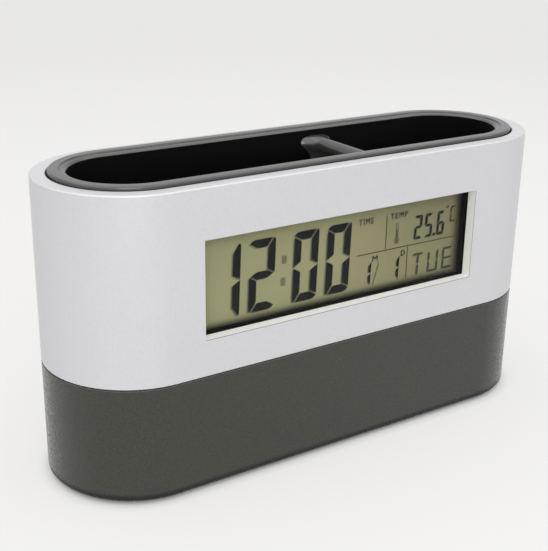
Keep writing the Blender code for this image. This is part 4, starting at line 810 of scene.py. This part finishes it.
# Rubber feet: discs with a rounded lower edge and a shallow ring
def make_feet(finish):
    thick = foot_high.z - foot_low.z
    edge = thick / 4
    ring = FOOT_RADIUS * FOOT_RING
    groove = edge / 2
    profile = [(0, thick), (FOOT_RADIUS, thick)]
    profile += [(FOOT_RADIUS - edge * (1 - out), foot_low.z + edge * (1 - down))
                for down, out in quarter_turn(6)]
    profile += [(ring + groove, 0), (ring, groove), (ring - groove, 0), (0, 0)]
    for name, (x, y) in zip(CORNERS, corner_places(FOOT_X, FOOT_Y)):
        foot = spun(f"rubber_foot_{name}", profile, (x, y, 0), (0, 0, 1))
        smooth(foot)
        dress(foot, finish, replaced=[f"foot_{name}"])


# Screws that show from below: pan heads with a cross slot and a threaded shank
def make_screws(finish):
    spots = [(f"case_screw_{name}", x, y, CASE_HEAD_RADIUS, CASE_HEAD)
             for name, (x, y) in zip(CORNERS, corner_places(POST_X, POST_Y))]
    spots += [(f"tray_screw_{name}", x, LUG_Y, TRAY_HEAD_RADIUS, TRAY_HEAD)
              for name, x in (("left", -LUG_X), ("right", LUG_X))]
    for node, x, y, radius, head in spots:
        low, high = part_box(node)
        shank = radius / 2
        length = high.z - low.z - head
        flat = radius * HEAD_FLAT
        profile = [(0, head), (flat, head)]
        profile += [(radius * (HEAD_FLAT + (1 - HEAD_FLAT) * out),
                     head * (HEAD_RIM + (1 - HEAD_RIM) * up)) for out, up in quarter_turn(5)]
        profile += [(radius, 0), (shank, 0)]
        pitch = shank * THREAD_PITCH
        for i in range(int((length - 2 * shank) / pitch)):
            profile += [(shank * THREAD_ROOT, -pitch * (i + 0.5)), (shank, -pitch * (i + 1))]
        profile += [(shank * SCREW_TIP, -length), (0, -length)]
        screw = spun(f"{node}_steel", profile, (x, y, low.z + head), (0, 0, -1), BORE_STEPS)
        narrow = head * SLOT_HALF
        slots = [block((x - a, y - b, low.z - head), (x + a, y + b, low.z + head / 2))
                 for a, b in ((flat, narrow), (narrow, flat))]
        combine(screw, slots, "DIFFERENCE")
        weld(screw)
        smooth(screw)
        dress(screw, finish, replaced=[node])


# Figures of the liquid crystal display, as flat outlines seen from the front
def segments(width, height, stroke, gap, corner):
    """The seven segments of one figure, each an outline of (x, z) points."""
    half = height / 2
    space = gap / 4
    slant = gap * 0.6
    tip = stroke * 0.6 + space
    shoulder = corner * 0.6
    drop = height - corner * 0.75
    under = height - stroke
    thick = stroke / 2 - space
    top = [(corner, height), (width - shoulder - slant, height), (width - stroke - slant, under),
           (stroke, under), (0, drop)]
    right = [(min(width, width - shoulder + slant), height), (width, height - corner / 2),
             (width, half + space), (width - stroke, half + tip),
             (width - stroke, under - 1.5 * slant)]
    left = [(0, drop - 2 * slant), (0, half + space), (stroke, half + tip),
            (stroke, under - 2 * slant)]
    middle = [(1.2 * gap, half), (stroke, half + thick), (width - stroke, half + thick),
              (width - 1.2 * gap, half), (width - stroke, half - thick), (stroke, half - thick)]

    def turned(outline):
        return [(width - x, height - z) for x, z in outline]

    return {"a": top, "b": right, "c": turned(left), "d": turned(top), "e": turned(right),
            "f": left, "g": middle, "foot": [(x, height - z) for x, z in right]}


LIT = {"0": "abcdef", "1": ("b", "foot"), "2": "abdeg", "5": "acdfg", "6": "acdefg",
       "U": "bcdef", "E": "adefg", "C": "adef"}


def figure(sign, x, z, size, lean):
    """The lit segments of one figure at its lower left corner, leaning to the right."""
    shapes = segments(*size)
    return [[(x + px + pz * lean, z + pz) for px, pz in shapes[key]] for key in LIT[sign]]


def row(signs, base, size, lean=LEAN):
    """A row of figures, each given by its sign and its left edge."""
    return [outline for sign, x in signs for outline in figure(sign, x, base, size, lean)]


def strip(x0, z0, x1, z1, width):
    """A straight line as a thin four-sided outline."""
    start = Vector((x0, z0))
    run = Vector((x1, z1)) - start
    side = Vector((-run.y, run.x)).normalized() * width / 2
    return [tuple(p) for p in (start - side, start + run - side, start + run + side, start + side)]


def oblong(x, z, width, height):
    return [(x, z), (x + width, z), (x + width, z + height), (x, z + height)]


def disc(x, z, radius):
    turns = [2 * pi * i / SMALL_STEPS for i in range(SMALL_STEPS)]
    return [(x + radius * cos(turn), z + radius * sin(turn)) for turn in turns]


def small_figures():
    """The temperature with its point, and the two ones of the date."""
    dates = [("1", right - DATE_WIDTH) for right in DATE_RIGHTS]
    return [*row(TEMP_SIGNS, TEMP_BASE, TEMP_SIZE),
            oblong(TEMP_POINT_X, TEMP_BASE, TEMP_STROKE, TEMP_STROKE),
            *row(dates, DATE_BASE, DATE_SIZE, DATE_LEAN)]


def fine_figures():
    """The day, with its T of three strips, and the degree sign with its C."""
    left = DAY_T_X - DAY_WIDTH * DAY_T_LEFT
    right = DAY_T_X + DAY_WIDTH * DAY_T_RIGHT
    top = DAY_BASE + DAY_HEIGHT
    bar_z = top - DAY_STROKE / 2
    under = top - DAY_STROKE * 1.3
    middle = DAY_BASE + DAY_HEIGHT / 2
    return [*row(DAY_SIGNS, DAY_BASE, DAY_SIZE, DAY_LEAN),
            strip(left, bar_z, right, bar_z, DAY_STROKE),
            strip(DAY_T_X + DAY_T_SLANT, under, DAY_T_X, middle + SMALL_GAP, DAY_STROKE),
            strip(DAY_T_X, middle - SMALL_GAP, DAY_T_X - DAY_T_SLANT, DAY_BASE, DAY_STROKE),
            disc(*DEGREE_PLACE, DEGREE_RADIUS),
            disc(*DEGREE_PLACE, DEGREE_RADIUS * DEGREE_HOLE),
            *figure("C", *DEGREE_C_PLACE, DEGREE_C_SIZE, DEGREE_C_LEAN)]


def rule_figures():
    """The fine rules between the fields, and the thermometer."""
    x = THERMOMETER_X
    bulb = THERMOMETER_BULB
    stem = bulb * 0.42
    thin = RULE_WIDTH * 0.6
    foot = THERMOMETER_LOW + 2 * bulb
    shoulder = THERMOMETER_HIGH - stem
    cap = shoulder + thin / 2
    column = (THERMOMETER_LOW + THERMOMETER_HIGH) / 2 + bulb
    return [*(strip(*run, RULE_WIDTH) for run in RULES),
            *(disc(x, THERMOMETER_LOW + bulb, bulb * share) for share in BULB_RINGS),
            *(strip(x + side, foot, x + side, shoulder, thin) for side in (-stem, stem)),
            strip(x - stem, cap, x + stem, cap, thin),
            strip(x, foot, x, column, RULE_WIDTH)]


def flat_shapes(name, outlines, y, shift=(0, 0)):
    """Fill closed outlines as one flat curve that faces the front, and make it a mesh."""
    deselect_all()
    bpy.ops.object.add(type="CURVE", location=(shift[0], y, shift[1]), rotation=(pi / 2, 0, 0))
    drawing = bpy.context.active_object
    curve = drawing.data
    curve.dimensions = "2D"
    curve.fill_mode = "BOTH"
    curve.extrude = FIGURE_THICKNESS / 2
    for outline in outlines:
        spline = curve.splines.new("POLY")
        spline.points.add(len(outline) - 1)
        for point, (x, z) in zip(spline.points, outline):
            point.co = (x, z, 0, 1)
        spline.use_cyclic_u = True
    bpy.ops.object.convert(target="MESH")
    piece = named(name)
    settle_place()
    weld(piece, turn_out=True)
    return piece


def word_length(word):
    return sum(LETTERS[letter][0] for letter in word) + LETTER_SPACE * (len(word) - 1)


def word_figures(labels):
    """Small words, each letter drawn to fill its share of the word's box of (x, z) corners."""
    outlines = []
    for word, (x0, z0), (x1, z1) in labels:
        scale = (x1 - x0) / word_length(word)
        for letter in word:
            width, shapes = LETTERS[letter]
            for shape in shapes:
                outlines.append([(x0 + x * width * scale, z0 + z * (z1 - z0)) for x, z in shape])
            x0 += (width + LETTER_SPACE) * scale
    return outlines


def make_figures(ink, fine_ink, faint_ink, painted_shadow_ink):
    """The figures on the glass, and behind some of them a painted shadow: a faint dark copy,
    offset down and to the left.
    """
    time = row(TIME_SIGNS, TIME_BASE, TIME_SIZE)
    colon = [oblong(x, z, COLON_WIDTH, COLON_HEIGHT) for x, z in COLON_PLACES]
    drawings = (("time_figures", time, ink, 0),
                ("time_shadows", time, painted_shadow_ink, 1),
                ("colon", colon, faint_ink, 0),
                ("small_figures", small_figures(), ink, 0),
                ("small_shadows", small_figures(), painted_shadow_ink, SMALL_SHADOW),
                ("day_letters", fine_figures(), fine_ink, 0),
                ("day_shadows", fine_figures(), painted_shadow_ink, SMALL_SHADOW),
                ("rules", rule_figures(), fine_ink, 0),
                ("words", word_figures(LCD_WORDS), ink, 0))
    for name, outlines, finish, shadow in drawings:
        forward = 2 if shadow else 4
        piece = flat_shapes(f"lcd_{name}", outlines, GLASS_FRONT - forward * FIGURE_THICKNESS,
                            (SHADOW_SIDE * shadow, SHADOW_DROP * shadow))
        dress(piece, finish)


# A painted shadow line: a fine dark line below and to the right of the window
def make_window_shadow_line(finish):
    low = WINDOW_SILL - WINDOW_SHADOW_LINE
    right = WINDOW_HALF + WINDOW_SHADOW_LINE
    outline = [(-WINDOW_HALF, WINDOW_SILL), (-WINDOW_HALF, low), (right, low),
               (right, WINDOW_HEAD), (WINDOW_HALF, WINDOW_HEAD), (WINDOW_HALF, WINDOW_SILL)]
    line = flat_shapes("window_shadow_line", [outline], FIGURE_THICKNESS / 2 - HALF_WIDTH)
    dress(line, finish)


# Words printed above the buttons, drawn as seen from the rear and then mirrored
def make_key_words(finish):
    labels = []
    top = KEY_WORD_BASE + KEY_WORD_HEIGHT
    for name, x in zip(BUTTONS, BUTTON_XS):
        word = name.upper()
        half = word_length(word) * KEY_WORD_HEIGHT * KEY_WORD_SHARE / 2
        labels.append((word, (-x - half, KEY_WORD_BASE), (-x + half, top)))
    mirrored = [[(-x, z) for x, z in outline] for outline in word_figures(labels)]
    piece = flat_shapes("key_words", mirrored, HALF_WIDTH - FIGURE_THICKNESS / 2)
    dress(piece, finish)


# Shader trees: nodes made with their settings, and inputs that are linked or set
def feed(tree, node, inputs):
    """Link each named input to a socket, or give it a plain value."""
    for label, value in inputs.items():
        if isinstance(value, bpy.types.NodeSocket):
            tree.links.new(value, node.inputs[label])
        else:
            node.inputs[label].default_value = value


def add_node(tree, kind, inputs=None, **settings):
    node = tree.nodes.new("ShaderNode" + kind)
    for setting, value in settings.items():
        setattr(node, setting, value)
    feed(tree, node, inputs or {})
    return node


def add_math(tree, operation, *values):
    return add_node(tree, "Math", dict(enumerate(values)), operation=operation).outputs[0]


def add_ramp(tree, value, low, high):
    """Zero below the low value, one above the high one."""
    ramp = add_node(tree, "MapRange", {"Value": value, "From Min": low, "From Max": high},
                    interpolation_type="SMOOTHSTEP")
    return ramp.outputs["Result"]


def add_mix(tree, share, first, second, blend="MIX"):
    mix = add_node(tree, "Mix", data_type="RGBA", blend_type=blend)
    feed(tree, mix, {"Factor": share, "A": first, "B": second})
    return mix.outputs["Result"]


def add_shader_mix(tree, share, first, second):
    blend = add_node(tree, "MixShader", {"Fac": share, 1: first, 2: second})
    return blend.outputs["Shader"]


def object_place(tree):
    return add_node(tree, "TexCoord").outputs["Object"]


def place_parts(tree):
    """The X, Y and Z of a point of the object."""
    return add_node(tree, "SeparateXYZ", {"Vector": object_place(tree)}).outputs


def add_cloud(tree, place, scale, detail):
    """Soft noise about zero."""
    cloud = add_node(tree, "TexNoise", {"Vector": place, "Scale": scale, "Detail": detail})
    return add_math(tree, "SUBTRACT", cloud.outputs["Fac"], 0.5)


def add_tone(tree, color, change):
    """A colour made lighter or darker by a share about zero."""
    level = add_math(tree, "ADD", change, 1.0)
    return add_node(tree, "VectorMath", {0: color, "Scale": level}, operation="SCALE").outputs[0]


def new_group(name, inputs, outputs):
    group = bpy.data.node_groups.new(name, "ShaderNodeTree")
    for label, kind, value in inputs:
        socket = group.interface.new_socket(name=label, in_out="INPUT", socket_type=kind)
        socket.default_value = value
    for label, kind in outputs:
        group.interface.new_socket(name=label, in_out="OUTPUT", socket_type=kind)
    return group, group.nodes.new("NodeGroupInput").outputs, group.nodes.new("NodeGroupOutput")


def make_flake_group():
    """Small paint flakes: each cell has its own lightness, with a fine bump."""
    tree, given, result = new_group(
        "paint flake",
        [("Color", "NodeSocketColor", (0.6, 0.6, 0.6, 1)), ("Flakes", "NodeSocketFloat", 3000),
         ("Contrast", "NodeSocketFloat", 0.1), ("Cloud", "NodeSocketFloat", 0.03)],
        [("Color", "NodeSocketColor"), ("Height", "NodeSocketFloat"),
         ("Roughness Shift", "NodeSocketFloat")])
    place = object_place(tree)
    flakes = add_node(tree, "TexVoronoi", {"Vector": place, "Scale": given["Flakes"]},
                      feature="F1")
    cell = add_node(tree, "SeparateColor", {"Color": flakes.outputs["Color"]}).outputs
    spread = add_math(tree, "SUBTRACT", cell["Red"], 0.5)
    flake_share = add_math(tree, "MULTIPLY", spread, given["Contrast"])
    change = add_math(tree, "MULTIPLY_ADD", add_cloud(tree, place, 45, 3), given["Cloud"],
                      flake_share)
    feed(tree, result, {"Color": add_tone(tree, given["Color"], change),
                        "Height": cell["Green"], "Roughness Shift": change})
    return tree


def make_grain_group():
    """Moulded or cast surfaces: a fine grain in height and roughness, and soft clouds."""
    tree, given, result = new_group(
        "moulded grain",
        [("Color", "NodeSocketColor", (0.1, 0.1, 0.1, 1)), ("Grain", "NodeSocketFloat", 2500),
         ("Tint", "NodeSocketFloat", 0.15), ("Roughness", "NodeSocketFloat", 0.5),
         ("Unevenness", "NodeSocketFloat", 0.1)],
        [("Color", "NodeSocketColor"), ("Height", "NodeSocketFloat"),
         ("Roughness", "NodeSocketFloat")])
    place = object_place(tree)
    grain = add_node(tree, "TexNoise", {"Vector": place, "Scale": given["Grain"], "Detail": 2})
    drift = add_cloud(tree, place, 60, 4)
    rough = add_math(tree, "MULTIPLY_ADD", drift, given["Unevenness"], given["Roughness"])
    change = add_math(tree, "MULTIPLY", drift, given["Tint"])
    feed(tree, result, {"Color": add_tone(tree, given["Color"], change),
                        "Height": grain.outputs["Fac"], "Roughness": rough})
    return tree


FLAKE_GROUP = make_flake_group()
GRAIN_GROUP = make_grain_group()


# Finishes
def new_finish(name, **sockets):
    """A node material whose constant values sit on the shader's own sockets."""
    finish = bpy.data.materials.new(name)
    finish.use_nodes = True
    tree = finish.node_tree
    shader = tree.nodes["Principled BSDF"]
    feed(tree, shader, {label.replace("_", " "): value for label, value in sockets.items()})
    return finish, tree, shader


def add_bump(tree, shader, height, strength, distance):
    bump = add_node(tree, "Bump", {"Strength": strength, "Distance": distance, "Height": height})
    feed(tree, shader, {"Normal": bump.outputs["Normal"]})


def base_color(shader):
    return shader.inputs["Base Color"].links[0].from_socket


def painted(name, color, roughness, metallic, flakes, contrast, bump=0.15, **sockets):
    """Sprayed paint with fine metal flakes."""
    finish, tree, shader = new_finish(name, Metallic=metallic, **sockets)
    flake = add_node(tree, "Group", node_tree=FLAKE_GROUP)
    feed(tree, flake, {"Color": (*color, 1), "Flakes": flakes, "Contrast": contrast})
    gloss = add_math(tree, "ADD", flake.outputs["Roughness Shift"], roughness)
    feed(tree, shader, {"Base Color": flake.outputs["Color"], "Roughness": gloss})
    add_bump(tree, shader, flake.outputs["Height"], bump, FLAKE_HEIGHT)
    return finish


def moulded(name, color, roughness, grain=2500, tint=0.15, unevenness=0.1, bump=0.2,
            **sockets):
    """Moulded plastic, rubber or film with a fine grain."""
    finish, tree, shader = new_finish(name, **sockets)
    mix = add_node(tree, "Group", node_tree=GRAIN_GROUP)
    feed(tree, mix, {"Color": (*color, 1), "Grain": grain, "Tint": tint,
                     "Roughness": roughness, "Unevenness": unevenness})
    feed(tree, shader, {"Base Color": mix.outputs["Color"], "Roughness": mix.outputs["Roughness"]})
    add_bump(tree, shader, mix.outputs["Height"], bump, GRAIN_HEIGHT)
    return finish


def charcoal_paint():
    """Charcoal flake paint with painted shade along the bottom edge, where it turns near black and
    loses its clear coat.
    """
    finish = painted("charcoal_paint", (0.0228, 0.0238, 0.0160), 0.42, 0.2, 3000, 0.7,
                     Coat_Roughness=0.22)
    tree = finish.node_tree
    shader = tree.nodes["Principled BSDF"]
    above_shade = add_ramp(tree, place_parts(tree)["Z"], LOWER_EDGE_SHADE_LOW, LOWER_EDGE_SHADE_HIGH)
    color = add_mix(tree, above_shade, LOWER_EDGE_SHADE_COLOR, base_color(shader))
    clear_coat = add_math(tree, "MULTIPLY", above_shade, CLEAR_COAT)
    feed(tree, shader, {"Base Color": color, "Coat Weight": clear_coat})
    return finish


def display_glass():
    """Olive display glass, with painted shade: darker to the right, and near black round its rim.
    """
    finish = moulded("lcd_glass", LCD_COLOR, 0.5, 900, 0.02, bump=0.0, Specular_IOR_Level=0.15)
    tree = finish.node_tree
    shader = tree.nodes["Principled BSDF"]
    place = place_parts(tree)
    # painted shade: darker towards the right end of the glass
    shade_right = add_ramp(tree, place["X"], -WINDOW_HALF / 3, WINDOW_HALF)
    color = add_mix(tree, shade_right, base_color(shader), LCD_PAINTED_SHADE_RIGHT, "MULTIPLY")
    side = add_math(tree, "ABSOLUTE", place["X"])
    middle = (WINDOW_SILL + WINDOW_HEAD) / 2
    half = (WINDOW_HEAD - WINDOW_SILL) / 2
    rise = add_math(tree, "ABSOLUTE", add_math(tree, "SUBTRACT", place["Z"], middle))
    # painted shade: a soft near-black band round the rim of the glass, wider at the ends, for the
    # shade in the deep window
    shade_x = add_ramp(tree, side, WINDOW_HALF - LCD_END_SHADE, WINDOW_HALF + LCD_EDGE)
    shade_z = add_ramp(tree, rise, half - LCD_SHADE, half + LCD_EDGE)
    painted_shade = add_math(tree, "MAXIMUM", shade_x, shade_z)
    feed(tree, shader, {"Base Color": add_mix(tree, painted_shade, color, LCD_PAINTED_SHADE_COLOR)})
    return finish


def clear_window():
    """Clear window with a low-glare coating, which lets light through to the display."""
    finish, tree, shader = new_finish("clear_window", Transmission_Weight=1.0, IOR=1.17,
                                      Roughness=0.0)
    cloud = add_node(tree, "Group", node_tree=GRAIN_GROUP)
    feed(tree, cloud, {"Color": (0.97, 0.98, 0.97, 1), "Tint": 0.01})
    feed(tree, shader, {"Base Color": cloud.outputs["Color"]})
    path = add_node(tree, "LightPath")
    clear = add_node(tree, "BsdfTransparent")
    surface = add_shader_mix(tree, path.outputs["Is Shadow Ray"], shader.outputs["BSDF"],
                             clear.outputs["BSDF"])
    feed(tree, tree.nodes["Material Output"], {"Surface": surface})
    return finish


def flat_ink(name, color, **sockets):
    """Figures on the display glass, without gloss."""
    return moulded(name, color, 0.6, bump=0.0, Specular_IOR_Level=0.05, **sockets)


def make_finishes():
    """Numbers are roughness, metal, flakes and contrast for paint, and roughness, grain and
    tint for the rest."""
    return {
        "silver": painted("silver_paint", (0.602, 0.597, 0.62), 0.40, 0.3, 3600, 0.06),
        # painted light on the window's reveal
        "reveal": painted("window_reveal_painted_light", (0.93, 0.925, 0.895), 0.35, 0.0, 3600, 0.04),
        "charcoal": charcoal_paint(),
        "tray": moulded("tray_plastic", (0.038, 0.04, 0.037), 0.22, 3000, 0.15, bump=0.1,
                        Specular_IOR_Level=0.8),
        # near-black matt wells, in part painted shade for their depth
        "well": moulded("tray_well_painted_shade", (0.0018, 0.0018, 0.002), 0.75, 3000, 0.2,
                        Specular_IOR_Level=0.05),
        "window": clear_window(),
        "glass": display_glass(),
        "film": moulded("reflector_film", (0.45, 0.45, 0.33), 0.35, 1500),
        "ink": flat_ink("lcd_ink", (0.004, 0.0045, 0.005), grain=1200),
        "fine_ink": flat_ink("lcd_fine_ink", (0.03, 0.03, 0.02), grain=1200),
        "faint_ink": flat_ink("lcd_faint_ink", (0.12, 0.10, 0.08), tint=0.1, Alpha=0.3),
        # painted shadow behind the figures
        "painted_shadow_ink": flat_ink("lcd_shadow", (0.08, 0.09, 0.06), tint=0.1, Alpha=0.3),
        "black": moulded("black_plastic", (0.016, 0.016, 0.017), 0.5, 2800),
        "matt_black": moulded("matt_black_plastic", (0.003, 0.003, 0.003), 0.8, 2800,
                              Specular_IOR_Level=0.08),
        "button": moulded("button_plastic", (0.06, 0.06, 0.058), 0.45, 2800),
        "board": moulded("circuit_board", (0.025, 0.13, 0.05), 0.4, 1800, 0.4),
        "strip": moulded("conductive_rubber", (0.55, 0.32, 0.30), 0.7, 4000, 0.5),
        "steel": moulded("steel", (0.60, 0.60, 0.61), 0.3, 5000, 0.1, Metallic=1.0),
        "brass": moulded("brass", (0.78, 0.58, 0.28), 0.3, 4000, 0.15, Metallic=1.0),
        "rubber": moulded("foot_rubber", (0.025, 0.025, 0.025), 0.85, 2200, 0.3, bump=0.5),
        "cell": moulded("cell_sleeve", (0.06, 0.24, 0.12), 0.3, 1500, 0.2),
        "red": moulded("red_lead", (0.5, 0.02, 0.02), 0.45, 2500),
        "black_wire": moulded("black_lead", (0.012, 0.012, 0.012), 0.45, 2500),
        "ribbon": moulded("grey_ribbon", (0.40, 0.40, 0.42), 0.5, 2500),
        # painted shadow line beside the window
        "line": moulded("window_shadow_line_grey", (0.20, 0.20, 0.195), 0.6, 2500, bump=0.0),
        "print": moulded("dark_print", (0.06, 0.06, 0.065), 0.55, 2500, bump=0.0),
    }


# CAD nodes that keep their own shape, with the finish of each
def finish_for(node):
    rules = (("switch", "steel"), ("plunger", "button"), ("screw", "steel"), ("contact", "steel"),
             ("zebra", "strip"), ("board", "board"), ("rear_glass", "glass"),
             ("front_glass", "glass"), ("reflector", "film"), ("lens", "window"),
             ("holder", "matt_black"), ("blob", "black"), ("crystal", "steel"),
             ("thermistor", "black"), ("buzzer", "brass"), ("battery_box", "black"),
             ("battery_door", "charcoal"), ("battery_", "cell"), ("lead_red", "red"),
             ("lead_black", "black_wire"), ("ribbon", "ribbon"))
    for word, finish in rules:
        if word in node:
            return finish
    return "black"


def dress_frame(finishes):
    for node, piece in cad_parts.items():
        piece.data.materials.clear()
        piece.data.materials.append(finishes[finish_for(node)])


def seen_directly(tree):
    """One for rays from the camera, off gloss and through glass, else zero."""
    path = add_node(tree, "LightPath").outputs
    seen = add_math(tree, "MAXIMUM", path["Is Camera Ray"], path["Is Glossy Ray"])
    return add_math(tree, "MAXIMUM", seen, path["Is Transmission Ray"])


# Studio: pale floor, soft lamps and the camera of the photograph
def make_floor():
    """A plain floor, seen lighter than it is lit, but not under the object, and with a painted
    falloff that dims it far away.
    """
    deselect_all()
    bpy.ops.mesh.primitive_plane_add(size=FLOOR_SIZE, location=(0, 0, 0))
    floor = named("studio_floor")
    finish, tree, shader = new_finish("studio_floor", Roughness=0.9)
    grain = add_node(tree, "Group", node_tree=GRAIN_GROUP)
    feed(tree, grain, {"Color": FLOOR_COLOR, "Tint": 0.01})
    feed(tree, shader, {"Base Color": grain.outputs["Color"]})

    place = place_parts(tree)
    side = add_math(tree, "SUBTRACT", add_math(tree, "ABSOLUTE", place["X"]), END_X)
    reach = add_node(tree, "CombineXYZ", {"X": add_math(tree, "MAXIMUM", side, 0),
                                          "Y": place["Y"]})
    away = add_node(tree, "VectorMath", {0: reach.outputs["Vector"]}, operation="LENGTH")
    distance = away.outputs["Value"]
    clear = add_ramp(tree, distance, HALF_WIDTH - FLOOR_FADE, HALF_WIDTH + FLOOR_FADE)
    share = add_math(tree, "MULTIPLY", seen_directly(tree), FLOOR_LIFT)
    lift = add_math(tree, "MULTIPLY", share, clear)
    # painted falloff: the glow dims away from the object
    far = add_ramp(tree, distance, HALF_LENGTH, FLOOR_FAR)
    painted_falloff = add_math(tree, "MULTIPLY", far, FLOOR_PAINTED_FALLOFF)
    glow = add_node(tree, "Emission", {"Color": FLOOR_GLOW,
                                       "Strength": add_math(tree, "SUBTRACT", 1.0, painted_falloff)})
    surface = add_shader_mix(tree, lift, shader.outputs["BSDF"], glow.outputs["Emission"])
    feed(tree, tree.nodes["Material Output"], {"Surface": surface})
    floor.data.materials.append(finish)


def make_world():
    """Even light from all round, and a plain backdrop where the world itself is seen."""
    world = bpy.data.worlds.new("studio")
    bpy.context.scene.world = world
    world.use_nodes = True
    tree = world.node_tree
    ambient = tree.nodes["Background"]
    feed(tree, ambient, {"Color": WORLD_COLOR, "Strength": WORLD_LEVEL})
    backdrop = add_node(tree, "Background", {"Color": BACKDROP_COLOR})
    surface = add_shader_mix(tree, seen_directly(tree), ambient.outputs["Background"],
                             backdrop.outputs["Background"])
    feed(tree, tree.nodes["World Output"], {"Surface": surface})


def make_lamps():
    for name, kind, place, spread, power, color in LAMPS:
        lamp_data = bpy.data.lights.new(name, kind)
        if kind == "SUN":
            lamp_data.angle = radians(spread)
        else:
            lamp_data.size = spread
        lamp_data.energy = power
        lamp_data.color = color
        lamp = bpy.data.objects.new(name, lamp_data)
        lamp.location = place
        lamp.rotation_mode = "QUATERNION"
        lamp.rotation_quaternion = (-Vector(place)).to_track_quat("-Z", "Y")
        bpy.context.scene.collection.objects.link(lamp)


def make_camera():
    away = Vector((sin(CAMERA_TURN) * cos(CAMERA_TILT), cos(CAMERA_TURN) * cos(CAMERA_TILT),
                   -sin(CAMERA_TILT)))
    level = Vector((cos(CAMERA_TURN), -sin(CAMERA_TURN), 0))
    rise = level.cross(away)
    right = cos(CAMERA_ROLL) * level + sin(CAMERA_ROLL) * rise
    up = cos(CAMERA_ROLL) * rise - sin(CAMERA_ROLL) * level
    camera_data = bpy.data.cameras.new("photo_camera")
    camera_data.lens = CAMERA_LENS
    camera_data.sensor_width = CAMERA_SENSOR
    camera = bpy.data.objects.new("photo_camera", camera_data)
    bpy.context.scene.collection.objects.link(camera)
    turn = Matrix((right, up, -away)).transposed()
    camera.rotation_mode = "QUATERNION"
    camera.rotation_quaternion = turn.to_quaternion()
    camera.location = CAMERA_PLACE
    bpy.context.scene.camera = camera


finishes = make_finishes()
make_camera()
dress_frame(finishes)
make_casing(finishes["silver"], finishes["reveal"])
make_base(finishes["charcoal"])
make_tray(finishes["tray"], finishes["well"])
make_buttons(finishes["button"])
make_feet(finishes["rubber"])
make_screws(finishes["steel"])
make_figures(finishes["ink"], finishes["fine_ink"], finishes["faint_ink"], finishes["painted_shadow_ink"])
make_window_shadow_line(finishes["line"])
make_key_words(finishes["print"])
make_floor()
make_world()
make_lamps()
bpy.context.scene.view_settings.view_transform = "Standard"
